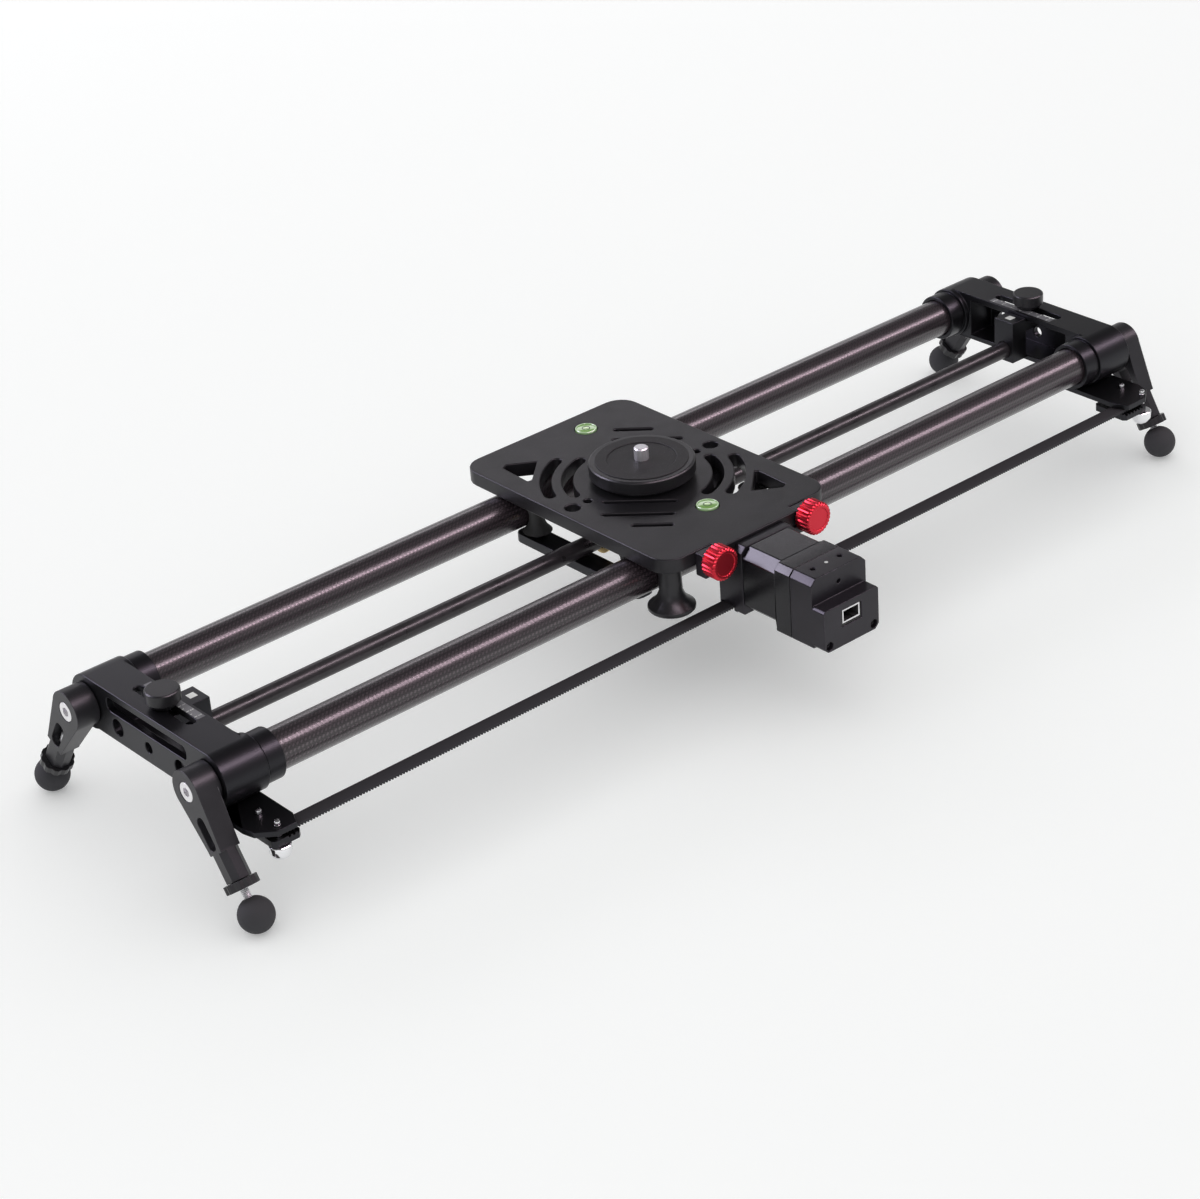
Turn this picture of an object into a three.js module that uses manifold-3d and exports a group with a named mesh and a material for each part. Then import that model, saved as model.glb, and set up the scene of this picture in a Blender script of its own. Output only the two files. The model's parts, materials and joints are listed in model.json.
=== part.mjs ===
// Motorised camera slider: two carbon rails between end brackets on folding legs, a carriage
// with a pan turntable steered by a guide rod, and a belt drive unit on the carriage's front edge.
// Millimetres. +X runs along the rails, +Y to the back, +Z up. Floor at z = 0.
import * as THREE from 'three';
import { mergeVertices } from 'three/addons/utils/BufferGeometryUtils.js';
import Module from 'manifold-3d';

const wasm = await Module();
wasm.setup();

// ---------------------------------------------------------------- driving dimensions
const OVERALL_LENGTH = 770.4;      // across the outer faces of the legs
const FIT_GAP = 0.3;               // clearance between neighbouring pieces
const SEGMENTS = 28;               // facets of a full turn
const FINE_SEGMENTS = 36;          // facets of the rails, their clamps and the turntable

const TUBE_RADIUS = 12.5;          // carbon rail outside radius
const TUBE_WALL = 1.8;
const TUBE_SPACING = 122;          // between the two rail axes

const BRACKET_WIDTH = 28.6;        // clamp length along the rail
const BRACKET_INSET = 15.6;        // leg outer face to bracket outer face
const BRACKET_END_WALL = 4.6;
const CLAMP_WALL = 4.5;             // clamp metal round a rail
const CLAMP_RADIUS = TUBE_RADIUS + CLAMP_WALL;
const TOP_PLATE_WIDTH = 25.1;
const TOP_PLATE_THICK = 4;
const BRACKET_FLOOR_Z = -15.5;
const BRACKET_FLOOR_THICK = 3;
const BASE_PAD_HALF = 16;           // tripod pad under the bracket, half its length across the rails
const BASE_PAD_RISE = 2;
const COLLAR_WALL = 3;
const COLLAR_RADIUS = TUBE_RADIUS + COLLAR_WALL;
const COLLAR_LENGTH = 12;
const OFFSET_SLOT_LENGTH = 58;
const OFFSET_SLOT_WIDTH = 6.4;
const OFFSET_SLOT_INSET = 29.7;    // leg outer face to slot centre line

const ROD_RADIUS = 5.6;
const ROD_Z = -6.5;
const CARRIER_HALF_WIDTH = 8.4;
const KNOB_RADIUS = 10.3;
const KNOB_RISE = 11;               // knob top above the bracket top
const KNOB_TOP_Z = CLAMP_RADIUS + KNOB_RISE;

const LEG_BOSS_RADIUS = 13;
const LEG_THICK = 12.6;
const LEG_LENGTH = 55;             // pivot to the end the lock nut bears on
const LEG_END_WIDTH = 15;
const FOOT_DROP = 62;              // pivot height above the ball centres
const BALL_RADIUS = 10.6;
const FOOT_SCREW_RADIUS = 2.5;
const LOCK_NUT_RADIUS = 10;
const LOCK_NUT_THICK = 5;
const FRONT_LEFT_REACH = 76.1;     // pivot to ball centre, each foot screwed out on its own
const FRONT_RIGHT_REACH = 72.4;
const BACK_REACH = 74.5;

const CARRIAGE_X = 2.3;            // where the carriage stands along the rails
const PLATE_LENGTH = 135.2;
const PLATE_OVERHANG = 23.5;        // plate past the outer side of each rail
const PLATE_DEPTH = TUBE_SPACING + 2 * (TUBE_RADIUS + PLATE_OVERHANG);
const PLATE_CORNER = 14;
const PLATE_THICK = 9.6;
const PLATE_CLEARANCE = 0.9;        // plate underside above the rails
const PLATE_TOP_Z = TUBE_RADIUS + PLATE_CLEARANCE + PLATE_THICK;
const TAB_HALF_WIDTH = 31.7;
const TAB_REACH = 7.8;
const ROLLER_STATION = 52;         // roller pair to carriage centre, along the rail
const ROLLER_NECK = 5;
const ROLLER_HALF_HEIGHT = 10;
const BAR_HALF_WIDTH = 7.5;
const BAR_THICK = 6.3;
const TURNTABLE_RADIUS = 33.5;
const TURNTABLE_THICK = 9;
const PAN_ARM_LENGTH = 31;
const LEVEL_RADIUS = 7;

const MOTOR_WIDTH = 45;
const MOTOR_HEIGHT = 45.5;
const MOTOR_DROP = 2;               // motor mount top below the plate top
const MOTOR_TOP_Z = PLATE_TOP_Z - MOTOR_DROP;
const MOUNT_DEPTH = 20.9;
const MOTOR_DEPTH = 27.6;
const FLANGE_DEPTH = 12.7;
const COVER_DEPTH = 18;
const SOCKET_STEP = 10;            // lower cover stands out by this
const SOCKET_TOP_Z = 3.9;
const THUMB_HALF_SPAN = 38.4;
const THUMB_RADIUS = 10.6;
const THUMB_THICK = 9.6;

const BELT_AHEAD = 1.3;             // belt centre line ahead of the plate's front edge
const BELT_Y = -PLATE_DEPTH / 2 - BELT_AHEAD;
const BELT_WIDTH = 9.5;
const BELT_THICK = 2.5;
const BELT_PLATE_THICK = 3.5;
const BELT_TOP_Z = -CLAMP_RADIUS - FIT_GAP - BELT_PLATE_THICK - FIT_GAP;
const BELT_CLAMP_THICK = 4.4;
const PULLEY_RADIUS = 7;
const IDLER_RADIUS = 5;
const LOOP_THICK = 1.6;

// ---------------------------------------------------------------- sizes that follow
const HALF = OVERALL_LENGTH / 2;
const TUBE_Y = TUBE_SPACING / 2;
const BRACKET_OUT = HALF - BRACKET_INSET;
const BRACKET_IN = BRACKET_OUT - BRACKET_WIDTH;
const TOP_PLATE_IN = BRACKET_OUT - TOP_PLATE_WIDTH;
const WALL_IN = BRACKET_OUT - BRACKET_END_WALL;
const SLOT_X = HALF - OFFSET_SLOT_INSET;
const COLLAR_IN = BRACKET_IN - COLLAR_LENGTH;
const ROD_HALF = COLLAR_IN + 7;
const CARRIER_IN = COLLAR_IN + 2;
const CARRIER_STEP = TOP_PLATE_IN - FIT_GAP;
const PLATE_UNDER = PLATE_TOP_Z - PLATE_THICK;
const ROLLER_Y = TUBE_Y - TUBE_RADIUS - ROLLER_NECK;
const BAR_TOP = -TUBE_RADIUS - 0.7;
const BODY_FRONT = -PLATE_DEPTH / 2;
const TAB_FRONT = BODY_FRONT - TAB_REACH;
const MOUNT_FRONT = TAB_FRONT - 7.6;
const MOUNT_REAR = MOUNT_FRONT + MOUNT_DEPTH;
const MOTOR_REAR = MOUNT_FRONT - FIT_GAP;
const LAMINATION_FRONT = MOTOR_REAR - MOTOR_DEPTH;
const FLANGE_FRONT = LAMINATION_FRONT - FLANGE_DEPTH;
const COVER_REAR = FLANGE_FRONT - FIT_GAP;
const COVER_FRONT = COVER_REAR - COVER_DEPTH;
const SOCKET_FRONT = COVER_FRONT - SOCKET_STEP;
const MOTOR_BOTTOM = MOTOR_TOP_Z - MOTOR_HEIGHT;
const MOTOR_AXIS_Z = MOTOR_TOP_Z - MOTOR_HEIGHT / 2;
const EAR_FRONT = BODY_FRONT - 8.9;
const THUMB_Z = PLATE_TOP_Z - PLATE_THICK / 2;
const BELT_PLATE_TOP = -CLAMP_RADIUS - FIT_GAP;
const BELT_PLATE_UNDER = BELT_PLATE_TOP - BELT_PLATE_THICK;
const BELT_CLAMP_TOP = BELT_TOP_Z - BELT_THICK - FIT_GAP;
const BELT_CLAMP_UNDER = BELT_CLAMP_TOP - BELT_CLAMP_THICK;
const BELT_HALF = SLOT_X - 3;
const IDLER_X = PULLEY_RADIUS + LOOP_THICK + IDLER_RADIUS + 2 * FIT_GAP;
const IDLER_Z = BELT_TOP_Z + FIT_GAP + IDLER_RADIUS;
const FLOOR_Z = -FOOT_DROP - BALL_RADIUS;
const LOBE_X = -PLATE_LENGTH / 2 + PLATE_CORNER;
const LOBE_Y = -PLATE_DEPTH / 2 + PLATE_CORNER;

// ---------------------------------------------------------------- solids
/** Manifold solid from a closed three.js geometry. */
function solid(geometry) {
  const g = geometry.index ? geometry.toNonIndexed() : geometry;
  g.deleteAttribute('normal');
  g.deleteAttribute('uv');
  const m = mergeVertices(g, 1e-4);
  return new wasm.Manifold(new wasm.Mesh({
    numProp: 3,
    vertProperties: new Float32Array(m.attributes.position.array),
    triVerts: new Uint32Array(m.index.array),
  }));
}

function join(first, ...rest) {
  return rest.reduce((sum, piece) => sum.add(piece), first);
}

function cut(first, ...rest) {
  return rest.reduce((left, piece) => left.subtract(piece), first);
}

function moved(piece, x, y, z) {
  return piece.translate([x, y, z]);
}

/** Box between two corners given in any order. */
function box(x0, x1, y0, y1, z0, z1) {
  const g = new THREE.BoxGeometry(Math.abs(x1 - x0), Math.abs(y1 - y0), Math.abs(z1 - z0));
  g.translate((x0 + x1) / 2, (y0 + y1) / 2, (z0 + z1) / 2);
  return solid(g);
}

/** Points of a full circle, first point on the +u side. */
function circle(radius, segments = SEGMENTS, u = 0, v = 0) {
  const points = [];
  for (let i = 0; i < segments; i += 1) {
    const a = (2 * Math.PI * i) / segments;
    points.push([u + radius * Math.cos(a), v + radius * Math.sin(a)]);
  }
  return points;
}

/** Prism along an axis; the outline's two coordinates are the axes that follow it in turn. */
function prism(axis, outline, from, to) {
  const shape = new THREE.Shape(outline.map(([u, v]) => new THREE.Vector2(u, v)));
  const g = new THREE.ExtrudeGeometry(shape, {
    depth: Math.abs(to - from), bevelEnabled: false, curveSegments: 1,
  });
  g.translate(0, 0, Math.min(from, to));
  if (axis === 'x') {
    g.applyMatrix4(new THREE.Matrix4().set(0, 0, 1, 0, 1, 0, 0, 0, 0, 1, 0, 0, 0, 0, 0, 1));
  } else if (axis === 'y') {
    g.applyMatrix4(new THREE.Matrix4().set(0, 1, 0, 0, 0, 0, 1, 0, 1, 0, 0, 0, 0, 0, 0, 1));
  }
  return solid(g);
}

/** Cylinder along an axis through (u, v). */
function rod(axis, radius, u, v, from, to, segments = SEGMENTS) {
  return prism(axis, circle(radius, segments, u, v), from, to);
}

/** Turned solid about z from a profile of [radius, z] pairs that starts and ends on the axis. */
function turned(profile, segments = SEGMENTS) {
  const g = new THREE.LatheGeometry(profile.map(([r, z]) => new THREE.Vector2(r, z)), segments);
  g.rotateX(Math.PI / 2);
  return solid(g);
}

/** Rectangle outline with rounded corners. */
function roundedRect(u0, u1, v0, v1, radius, steps = 5) {
  const centres = [[u1 - radius, v1 - radius], [u0 + radius, v1 - radius],
    [u0 + radius, v0 + radius], [u1 - radius, v0 + radius]];
  const points = [];
  centres.forEach(([cu, cv], quarter) => {
    for (let i = 0; i <= steps; i += 1) {
      const a = (Math.PI / 2) * (quarter + i / steps);
      points.push([cu + radius * Math.cos(a), cv + radius * Math.sin(a)]);
    }
  });
  return points;
}

/** Rectangle outline with the corners cut at 45 degrees. */
function chamferedRect(u0, u1, v0, v1, top, bottom) {
  return [[u0 + bottom, v0], [u1 - bottom, v0], [u1, v0 + bottom], [u1, v1 - top],
    [u1 - top, v1], [u0 + top, v1], [u0, v1 - top], [u0, v0 + bottom]];
}

/** Straight slot outline between two points. */
function slotOutline(a, b, width, steps = 5) {
  const angle = Math.atan2(b[1] - a[1], b[0] - a[0]);
  const points = [];
  for (let i = 0; i <= steps; i += 1) {
    const t = angle - Math.PI / 2 + (Math.PI * i) / steps;
    points.push([b[0] + (width / 2) * Math.cos(t), b[1] + (width / 2) * Math.sin(t)]);
  }
  for (let i = 0; i <= steps; i += 1) {
    const t = angle + Math.PI / 2 + (Math.PI * i) / steps;
    points.push([a[0] + (width / 2) * Math.cos(t), a[1] + (width / 2) * Math.sin(t)]);
  }
  return points;
}

/** Curved slot outline about the origin, from angle a0 to a1 in degrees. */
function arcSlotOutline(radius, a0, a1, width, steps = 10) {
  const points = [];
  const end = (deg, flip) => {
    const t = (deg * Math.PI) / 180;
    const [cu, cv] = [radius * Math.cos(t), radius * Math.sin(t)];
    for (let i = 1; i < 4; i += 1) {
      const s = t + (flip ? Math.PI : 0) + (Math.PI * i) / 4;
      points.push([cu + (width / 2) * Math.cos(s), cv + (width / 2) * Math.sin(s)]);
    }
  };
  for (let i = 0; i <= steps; i += 1) {
    const t = ((a0 + ((a1 - a0) * i) / steps) * Math.PI) / 180;
    points.push([(radius + width / 2) * Math.cos(t), (radius + width / 2) * Math.sin(t)]);
  }
  end(a1, false);
  for (let i = steps; i >= 0; i -= 1) {
    const t = ((a0 + ((a1 - a0) * i) / steps) * Math.PI) / 180;
    points.push([(radius - width / 2) * Math.cos(t), (radius - width / 2) * Math.sin(t)]);
  }
  end(a0, true);
  return points;
}

// ---------------------------------------------------------------- finishes
const FINISH = {
  anodised: { color: 0x1b1a1e, roughness: 0.42, metalness: 0.75 },
  carbon: { color: 0x241f26, roughness: 0.25, metalness: 0.1 },
  darkRod: { color: 0x2a262b, roughness: 0.3, metalness: 0.4 },
  rubber: { color: 0x1a191c, roughness: 0.8, metalness: 0 },
  steel: { color: 0xc4c4c6, roughness: 0.25, metalness: 1 },
  chrome: { color: 0xe6e6ea, roughness: 0.08, metalness: 1 },
  red: { color: 0xc01822, roughness: 0.3, metalness: 0.7 },
  acrylic: { color: 0x9fcf7a, roughness: 0.15, metalness: 0 },
  plastic: { color: 0x0d0d0e, roughness: 0.5, metalness: 0 },
  brass: { color: 0xb08d4a, roughness: 0.35, metalness: 1 },
};

const group = new THREE.Group();
group.name = 'camera_slider';
const BACK_FOOT = TUBE_Y + Math.sqrt(BACK_REACH ** 2 - FOOT_DROP ** 2) + BALL_RADIUS;
const lift = new THREE.Vector3(0, -(SOCKET_FRONT + BACK_FOOT) / 2, -FLOOR_Z);

/** Adds one named piece to the slider. */
function add(name, piece, finish) {
  const out = piece.getMesh();
  const g = new THREE.BufferGeometry();
  g.setAttribute('position', new THREE.BufferAttribute(new Float32Array(out.vertProperties), 3));
  g.setIndex(new THREE.BufferAttribute(new Uint32Array(out.triVerts), 1));
  g.translate(lift.x, lift.y, lift.z);
  g.computeVertexNormals();
  const mesh = new THREE.Mesh(g, new THREE.MeshStandardMaterial(finish));
  mesh.name = name;
  group.add(mesh);
}

// ---------------------------------------------------------------- rails and end brackets
function carbonTube(y) {
  const half = WALL_IN - FIT_GAP;
  const shell = rod('x', TUBE_RADIUS, y, 0, -half, half, FINE_SEGMENTS);
  const bore = rod('x', TUBE_RADIUS - TUBE_WALL, y, 0, -half - 1, half + 1, FINE_SEGMENTS);
  return cut(shell, bore);
}

/** s is -1 for the left end and +1 for the right end. */
function endBracket(s) {
  const body = box(s * TOP_PLATE_IN, s * BRACKET_OUT, -TUBE_Y, TUBE_Y, BRACKET_FLOOR_Z, CLAMP_RADIUS);
  let bracket = body;
  const bores = [];
  for (const y of [-TUBE_Y, TUBE_Y]) {
    const clamp = rod('x', CLAMP_RADIUS, y, 0, s * BRACKET_IN, s * BRACKET_OUT,
      FINE_SEGMENTS);
    const groove = rod('x', COLLAR_RADIUS - 0.6, y, 0, s * (BRACKET_IN - 0.8), s * BRACKET_OUT);
    const collar = rod('x', COLLAR_RADIUS, y, 0, s * COLLAR_IN, s * (BRACKET_IN - 0.7),
      FINE_SEGMENTS);
    bracket = join(bracket, clamp, groove, collar);
    bores.push(rod('x', TUBE_RADIUS + FIT_GAP, y, 0, s * (COLLAR_IN - 1), s * WALL_IN,
      FINE_SEGMENTS));
    bores.push(rod('x', 4.3, y, 0, s * (WALL_IN - 1), s * (BRACKET_OUT + 1), 16));
  }
  bracket = join(bracket, box(s * (TOP_PLATE_IN + 2), s * (BRACKET_OUT - 2), -BASE_PAD_HALF,
    BASE_PAD_HALF, BRACKET_FLOOR_Z - BASE_PAD_RISE, BRACKET_FLOOR_Z + 0.5));
  const room = TUBE_Y - TUBE_RADIUS - 5.5;
  const cavity = box(s * (TOP_PLATE_IN - 1), s * WALL_IN, -room, room,
    BRACKET_FLOOR_Z + BRACKET_FLOOR_THICK, CLAMP_RADIUS - TOP_PLATE_THICK);
  const window = prism('x', roundedRect(-40, 40, 3.3, 12.4, 3.5, 3),
    s * (WALL_IN - 1), s * (BRACKET_OUT + 1));
  const holes = [[-31.5, 5.4], [0, 3.5], [31.5, 5.4]].map(([y, r]) => rod(
    'x', r, y, -5, s * (WALL_IN - 1), s * (BRACKET_OUT + 1), 20));
  const reach = (OFFSET_SLOT_LENGTH - OFFSET_SLOT_WIDTH) / 2;
  const slot = prism('z', slotOutline([s * SLOT_X, -reach], [s * SLOT_X, reach], OFFSET_SLOT_WIDTH),
    CLAMP_RADIUS - TOP_PLATE_THICK - 1, CLAMP_RADIUS + 1);
  return cut(bracket, cavity, window, slot, ...holes, ...bores);
}

// ---------------------------------------------------------------- guide rod
function guideRod() {
  return rod('x', ROD_RADIUS, 0, ROD_Z, -ROD_HALF, ROD_HALF);
}

function rodCarrier(s) {
  const w = CARRIER_HALF_WIDTH;
  const ceiling = CLAMP_RADIUS - TOP_PLATE_THICK - FIT_GAP;
  const inner = box(s * CARRIER_IN, s * CARRIER_STEP, -w, w, -14.5, CLAMP_RADIUS - 2);
  const shelf = box(s * (CARRIER_STEP - 1), s * (SLOT_X + 6.5), -w, w, ceiling - 7.5, ceiling);
  const bore = rod('x', ROD_RADIUS + FIT_GAP, 0, ROD_Z, s * (CARRIER_IN - 1),
    s * (ROD_HALF + FIT_GAP));
  const stud = rod('z', 3.1, s * SLOT_X, 0, ceiling - 8.5, ceiling + 1, 16);
  return cut(join(inner, shelf), bore, stud);
}

function offsetKnob(s) {
  const seat = CLAMP_RADIUS + FIT_GAP;
  const r = KNOB_RADIUS;
  const ceiling = CLAMP_RADIUS - TOP_PLATE_THICK - FIT_GAP;
  return moved(turned([[0, ceiling - 7], [2.8, ceiling - 7], [2.8, seat], [r - 3, seat],
    [r, seat + 3.4], [r, KNOB_TOP_Z - 0.8], [r - 0.8, KNOB_TOP_Z], [0, KNOB_TOP_Z]]),
  s * SLOT_X, 0, 0);
}

// ---------------------------------------------------------------- legs
/** How far a foot stands out from its rail axis, level with the ball centres. */
function splay(reach) {
  return Math.sqrt(reach * reach - FOOT_DROP * FOOT_DROP);
}

/** Turns a leg piece built pointing straight down to its splay, and hangs it on its rail axis. */
function splayed(piece, side, reach) {
  const angle = (Math.acos(FOOT_DROP / reach) * 180) / Math.PI;
  return moved(piece.rotate([side * angle, 0, 0]), 0, side * TUBE_Y, 0);
}

const LEG_IN = HALF - LEG_THICK;
const LEG_MID = HALF - LEG_THICK / 2;

function leg(s) {
  const boss = rod('x', LEG_BOSS_RADIUS, 0, 0, s * (BRACKET_OUT + 0.5), s * HALF,
    FINE_SEGMENTS);
  const w = LEG_END_WIDTH / 2;
  const arm = prism('x', [[-12.7, -2], [-w, -36], [-w, -37.5], [w, -37.5], [w, -36], [12.7, -2],
    [9, 5], [-9, 5]], s * LEG_IN, s * HALF);
  const foot = prism('z', chamferedRect(LEG_IN, HALF, -w, w, 3.4, 3.4).map(([u, v]) => [s * u, v]),
    -LEG_LENGTH, -37);
  const pocket = prism('x', roundedRect(-4, 4, -35.5, -15.5, 3.4, 3), s * (LEG_IN - 1), s * (HALF + 1));
  const bore = rod('z', FOOT_SCREW_RADIUS + FIT_GAP, s * LEG_MID, 0, -LEG_LENGTH - 1, -20, 16);
  const pivot = rod('x', 4.3, 0, 0, s * BRACKET_OUT, s * (HALF + 1), 16);
  const sink = rod('x', 6.3, 0, 0, s * (HALF - 4.5), s * (HALF + 1), 24);
  return cut(join(boss, arm, foot), pocket, bore, pivot, sink);
}

function legBolt(s) {
  const shank = rod('x', 4, 0, 0, s * (WALL_IN + 0.6), s * (HALF - 1), 16);
  const head = rod('x', 6, 0, 0, s * (HALF - 4.2), s * (HALF - 0.2), 24);
  const socket = rod('x', 3, 0, 0, s * (HALF - 3.4), s * (HALF + 1), 6);
  return cut(join(shank, head), socket);
}

function lockNut(s) {
  const outline = [];
  for (let i = 0; i < 30; i += 1) {
    const a = (2 * Math.PI * i) / 30;
    const r = LOCK_NUT_RADIUS - (i % 3 === 0 ? 0.8 : 0);
    outline.push([s * LEG_MID + r * Math.cos(a), r * Math.sin(a)]);
  }
  const top = -LEG_LENGTH - FIT_GAP;
  return cut(prism('z', outline, top - LOCK_NUT_THICK, top),
    rod('z', FOOT_SCREW_RADIUS + FIT_GAP, s * LEG_MID, 0, top - LOCK_NUT_THICK - 1, top + 1, 16));
}

function footScrew(s, reach) {
  const shank = turned([[0, -reach + 1], [FOOT_SCREW_RADIUS, -reach + 1],
    [FOOT_SCREW_RADIUS, -reach + 46.4], [FOOT_SCREW_RADIUS - 0.6, -reach + 47], [0, -reach + 47]], 16);
  return moved(shank, s * LEG_MID, 0, 0);
}

/** Rubber ball standing on the floor, bored along the leg for its screw. */
function ballFoot(s, side, reach) {
  const profile = [];
  const steps = 10;
  for (let i = 0; i <= steps; i += 1) {
    const a = -Math.PI / 2 + (Math.PI * i) / steps;
    profile.push([i === 0 || i === steps ? 0 : BALL_RADIUS * Math.cos(a), BALL_RADIUS * Math.sin(a)]);
  }
  const ball = moved(turned(profile, 20), s * LEG_MID, side * (TUBE_Y + splay(reach)), -FOOT_DROP);
  const socket = rod('z', FOOT_SCREW_RADIUS + 0.2, s * LEG_MID, 0, -reach + 0.8,
    -reach + BALL_RADIUS + 1, 16);
  return cut(ball, splayed(socket, side, reach));
}

// ---------------------------------------------------------------- belt and its clamps
function beltPlate(s, inner, outer) {
  const front = BELT_Y - 7.7;
  const outline = [[inner, -38], [inner, front + 9], [inner + 4, front], [outer - 12, front],
    [outer - 2, front + 8], [outer, front + 16], [outer, -38]].map(([x, y]) => [s * x, y]);
  const plate = prism('z', s > 0 ? outline : outline.reverse(), BELT_PLATE_UNDER, BELT_PLATE_TOP);
  const pad = box(s * (TOP_PLATE_IN + 2), s * (outer - 1), CLAMP_RADIUS - 6 - TUBE_Y, -38.2,
    BELT_PLATE_UNDER, BRACKET_FLOOR_Z - FIT_GAP);
  return cut(join(plate, pad), ...studHoles(s));
}

function studHoles(s) {
  return [BELT_Y - 2.9, BELT_Y + 14.6].map((y) => rod('z', 2.1, s * SLOT_X, y, -60, 0, 16));
}

function beltClamp(s, inner, outer) {
  const front = BELT_Y - 7.7;
  const block = prism('z', chamferedRect(inner + 1, outer - 9, front + 0.6, BELT_Y + 20, 2, 2)
    .map(([u, v]) => [s * u, v]), BELT_CLAMP_UNDER, BELT_CLAMP_TOP);
  const grooves = [];
  for (let x = inner + 2.4; x < BELT_HALF - 1.5; x += 3) {
    grooves.push(box(s * x, s * (x + 1.5), front, BELT_Y + 6, BELT_CLAMP_TOP - 1.1, BELT_CLAMP_TOP + 1));
  }
  return cut(block, ...grooves, ...studHoles(s));
}

function beltNut(s) {
  const top = BELT_CLAMP_UNDER - FIT_GAP;
  const nut = turned([[0, top - 9.5], [3, top - 9.2], [5.4, top - 7.4], [6.6, top - 4.6],
    [6.6, top - 0.6], [6, top], [1.9, top], [1.9, BELT_PLATE_TOP + 0.8],
    [0, BELT_PLATE_TOP + 0.8]], 20);
  return moved(nut, s * SLOT_X, BELT_Y - 2.9, 0);
}

function driveBelt() {
  return box(-BELT_HALF, BELT_HALF, BELT_Y - BELT_WIDTH / 2, BELT_Y + BELT_WIDTH / 2,
    BELT_TOP_Z - BELT_THICK, BELT_TOP_Z);
}

// ---------------------------------------------------------------- carriage
function plateOutline() {
  const [x, y, r] = [PLATE_LENGTH / 2, PLATE_DEPTH / 2, PLATE_CORNER];
  return roundedRect(-x, x, -y, y, r, 6);
}

function carriagePlate() {
  let plate = prism('z', plateOutline(), PLATE_UNDER, PLATE_TOP_Z);
  const tab = box(-TAB_HALF_WIDTH, TAB_HALF_WIDTH, TAB_FRONT, BODY_FRONT + 3, PLATE_UNDER, PLATE_TOP_Z);
  plate = join(plate, tab);
  const below = PLATE_UNDER - 5;
  const above = PLATE_TOP_Z + 1;
  const cuts = [];
  for (const turn of [0, 180]) {
    const spin = (p) => p.rotate([0, 0, turn]);
    cuts.push(spin(prism('z', arcSlotOutline(47, -75, -15, 7), below, above)));
    cuts.push(spin(prism('z', arcSlotOutline(60.5, -68, -22, 7), below, above)));
    for (const [d, from, to] of [[34.4, -21.5, 21.5], [51, -21, 21], [65.5, -1.5, 21]]) {
      const at = (t) => [(t - d) / Math.SQRT2, (-t - d) / Math.SQRT2];
      cuts.push(spin(prism('z', slotOutline(at(from), at(to), 3.4, 3), below, above)));
    }
    const corner = [[50.6, -47.5], [31.6, -65], [47.5, -76], [51.5, -74], [52.6, -49]];
    cuts.push(spin(prism('z', corner, below, above)));
    cuts.push(spin(rod('z', 4.9, 57.3, 0, below, above, 24)));
    cuts.push(spin(rod('z', 2.7, 45, 0, below, above, 16)));
  }
  cuts.push(rod('z', 12 + FIT_GAP, 0, 0, below, above, FINE_SEGMENTS));
  for (const [x, y] of LEVELS) cuts.push(rod('z', LEVEL_RADIUS + FIT_GAP, x, y, PLATE_TOP_Z - 5, above, 24));
  for (const x of [-ROLLER_STATION, ROLLER_STATION]) {
    for (const y of [-ROLLER_Y, ROLLER_Y]) {
      plate = join(plate, rod('z', 4.6, x, y, ROLLER_HALF_HEIGHT + FIT_GAP, PLATE_UNDER + 1, 24));
      cuts.push(rod('z', 2.4 + FIT_GAP, x, y, 5, PLATE_UNDER + 4.6, 16));
    }
  }
  cuts.push(rod('z', 3.3, LOBE_X, LOBE_Y, below, PLATE_TOP_Z - 3, 20));
  for (const x of [-THUMB_HALF_SPAN, THUMB_HALF_SPAN]) {
    cuts.push(prism('y', circle(3.5, 20, THUMB_Z, x), BODY_FRONT - 1, BODY_FRONT + 9));
  }
  return cut(plate, ...cuts);
}

const LEVELS = [[0, -59.1], [19.4, 76.6]];

function level(x, y) {
  return rod('z', LEVEL_RADIUS, x, y, PLATE_TOP_Z - 4.7, PLATE_TOP_Z + 0.9, 24);
}

function crossBar(x) {
  let bar = prism('z', roundedRect(x - BAR_HALF_WIDTH, x + BAR_HALF_WIDTH, -58, 58, 5, 3),
    BAR_TOP - BAR_THICK, BAR_TOP);
  for (const y of [-ROLLER_Y, ROLLER_Y]) {
    bar = join(bar, rod('z', 4.6, x, y, BAR_TOP - 1, -ROLLER_HALF_HEIGHT - FIT_GAP, 24),
      rod('z', 2.4, x, y, BAR_TOP - 1, PLATE_UNDER + 4.3, 16));
  }
  return bar;
}

function roller(x, y) {
  const profile = [[2.7, -ROLLER_HALF_HEIGHT]];
  const reach = TUBE_Y - ROLLER_Y;
  const steps = 6;
  for (let i = 0; i <= steps; i += 1) {
    const z = -ROLLER_HALF_HEIGHT + (2 * ROLLER_HALF_HEIGHT * i) / steps;
    const wrap = TUBE_RADIUS + FIT_GAP;
    profile.push([reach - Math.sqrt(wrap * wrap - z * z), z]);
  }
  profile.push([2.7, ROLLER_HALF_HEIGHT], [2.7, -ROLLER_HALF_HEIGHT]);
  return moved(turned(profile, 24), x, y, 0);
}

function turntable() {
  const z = PLATE_TOP_Z + FIT_GAP;
  const r = TURNTABLE_RADIUS;
  const top = z + 2.7 + TURNTABLE_THICK;
  const body = turned([[0, 3.4], [8, 3.4], [8, 9.4], [12, 9.4], [12, z], [29, z], [29, z + 2.7],
    [r - 0.8, z + 2.7], [r, z + 3.5], [r, top - 1], [r - 1, top], [0, top]], FINE_SEGMENTS);
  return cut(body, rod('z', 4.9, 0, 0, top - 14, top + 1, 20));
}

const SEAT_Z = PLATE_TOP_Z + FIT_GAP + 2.7 + TURNTABLE_THICK;

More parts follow.
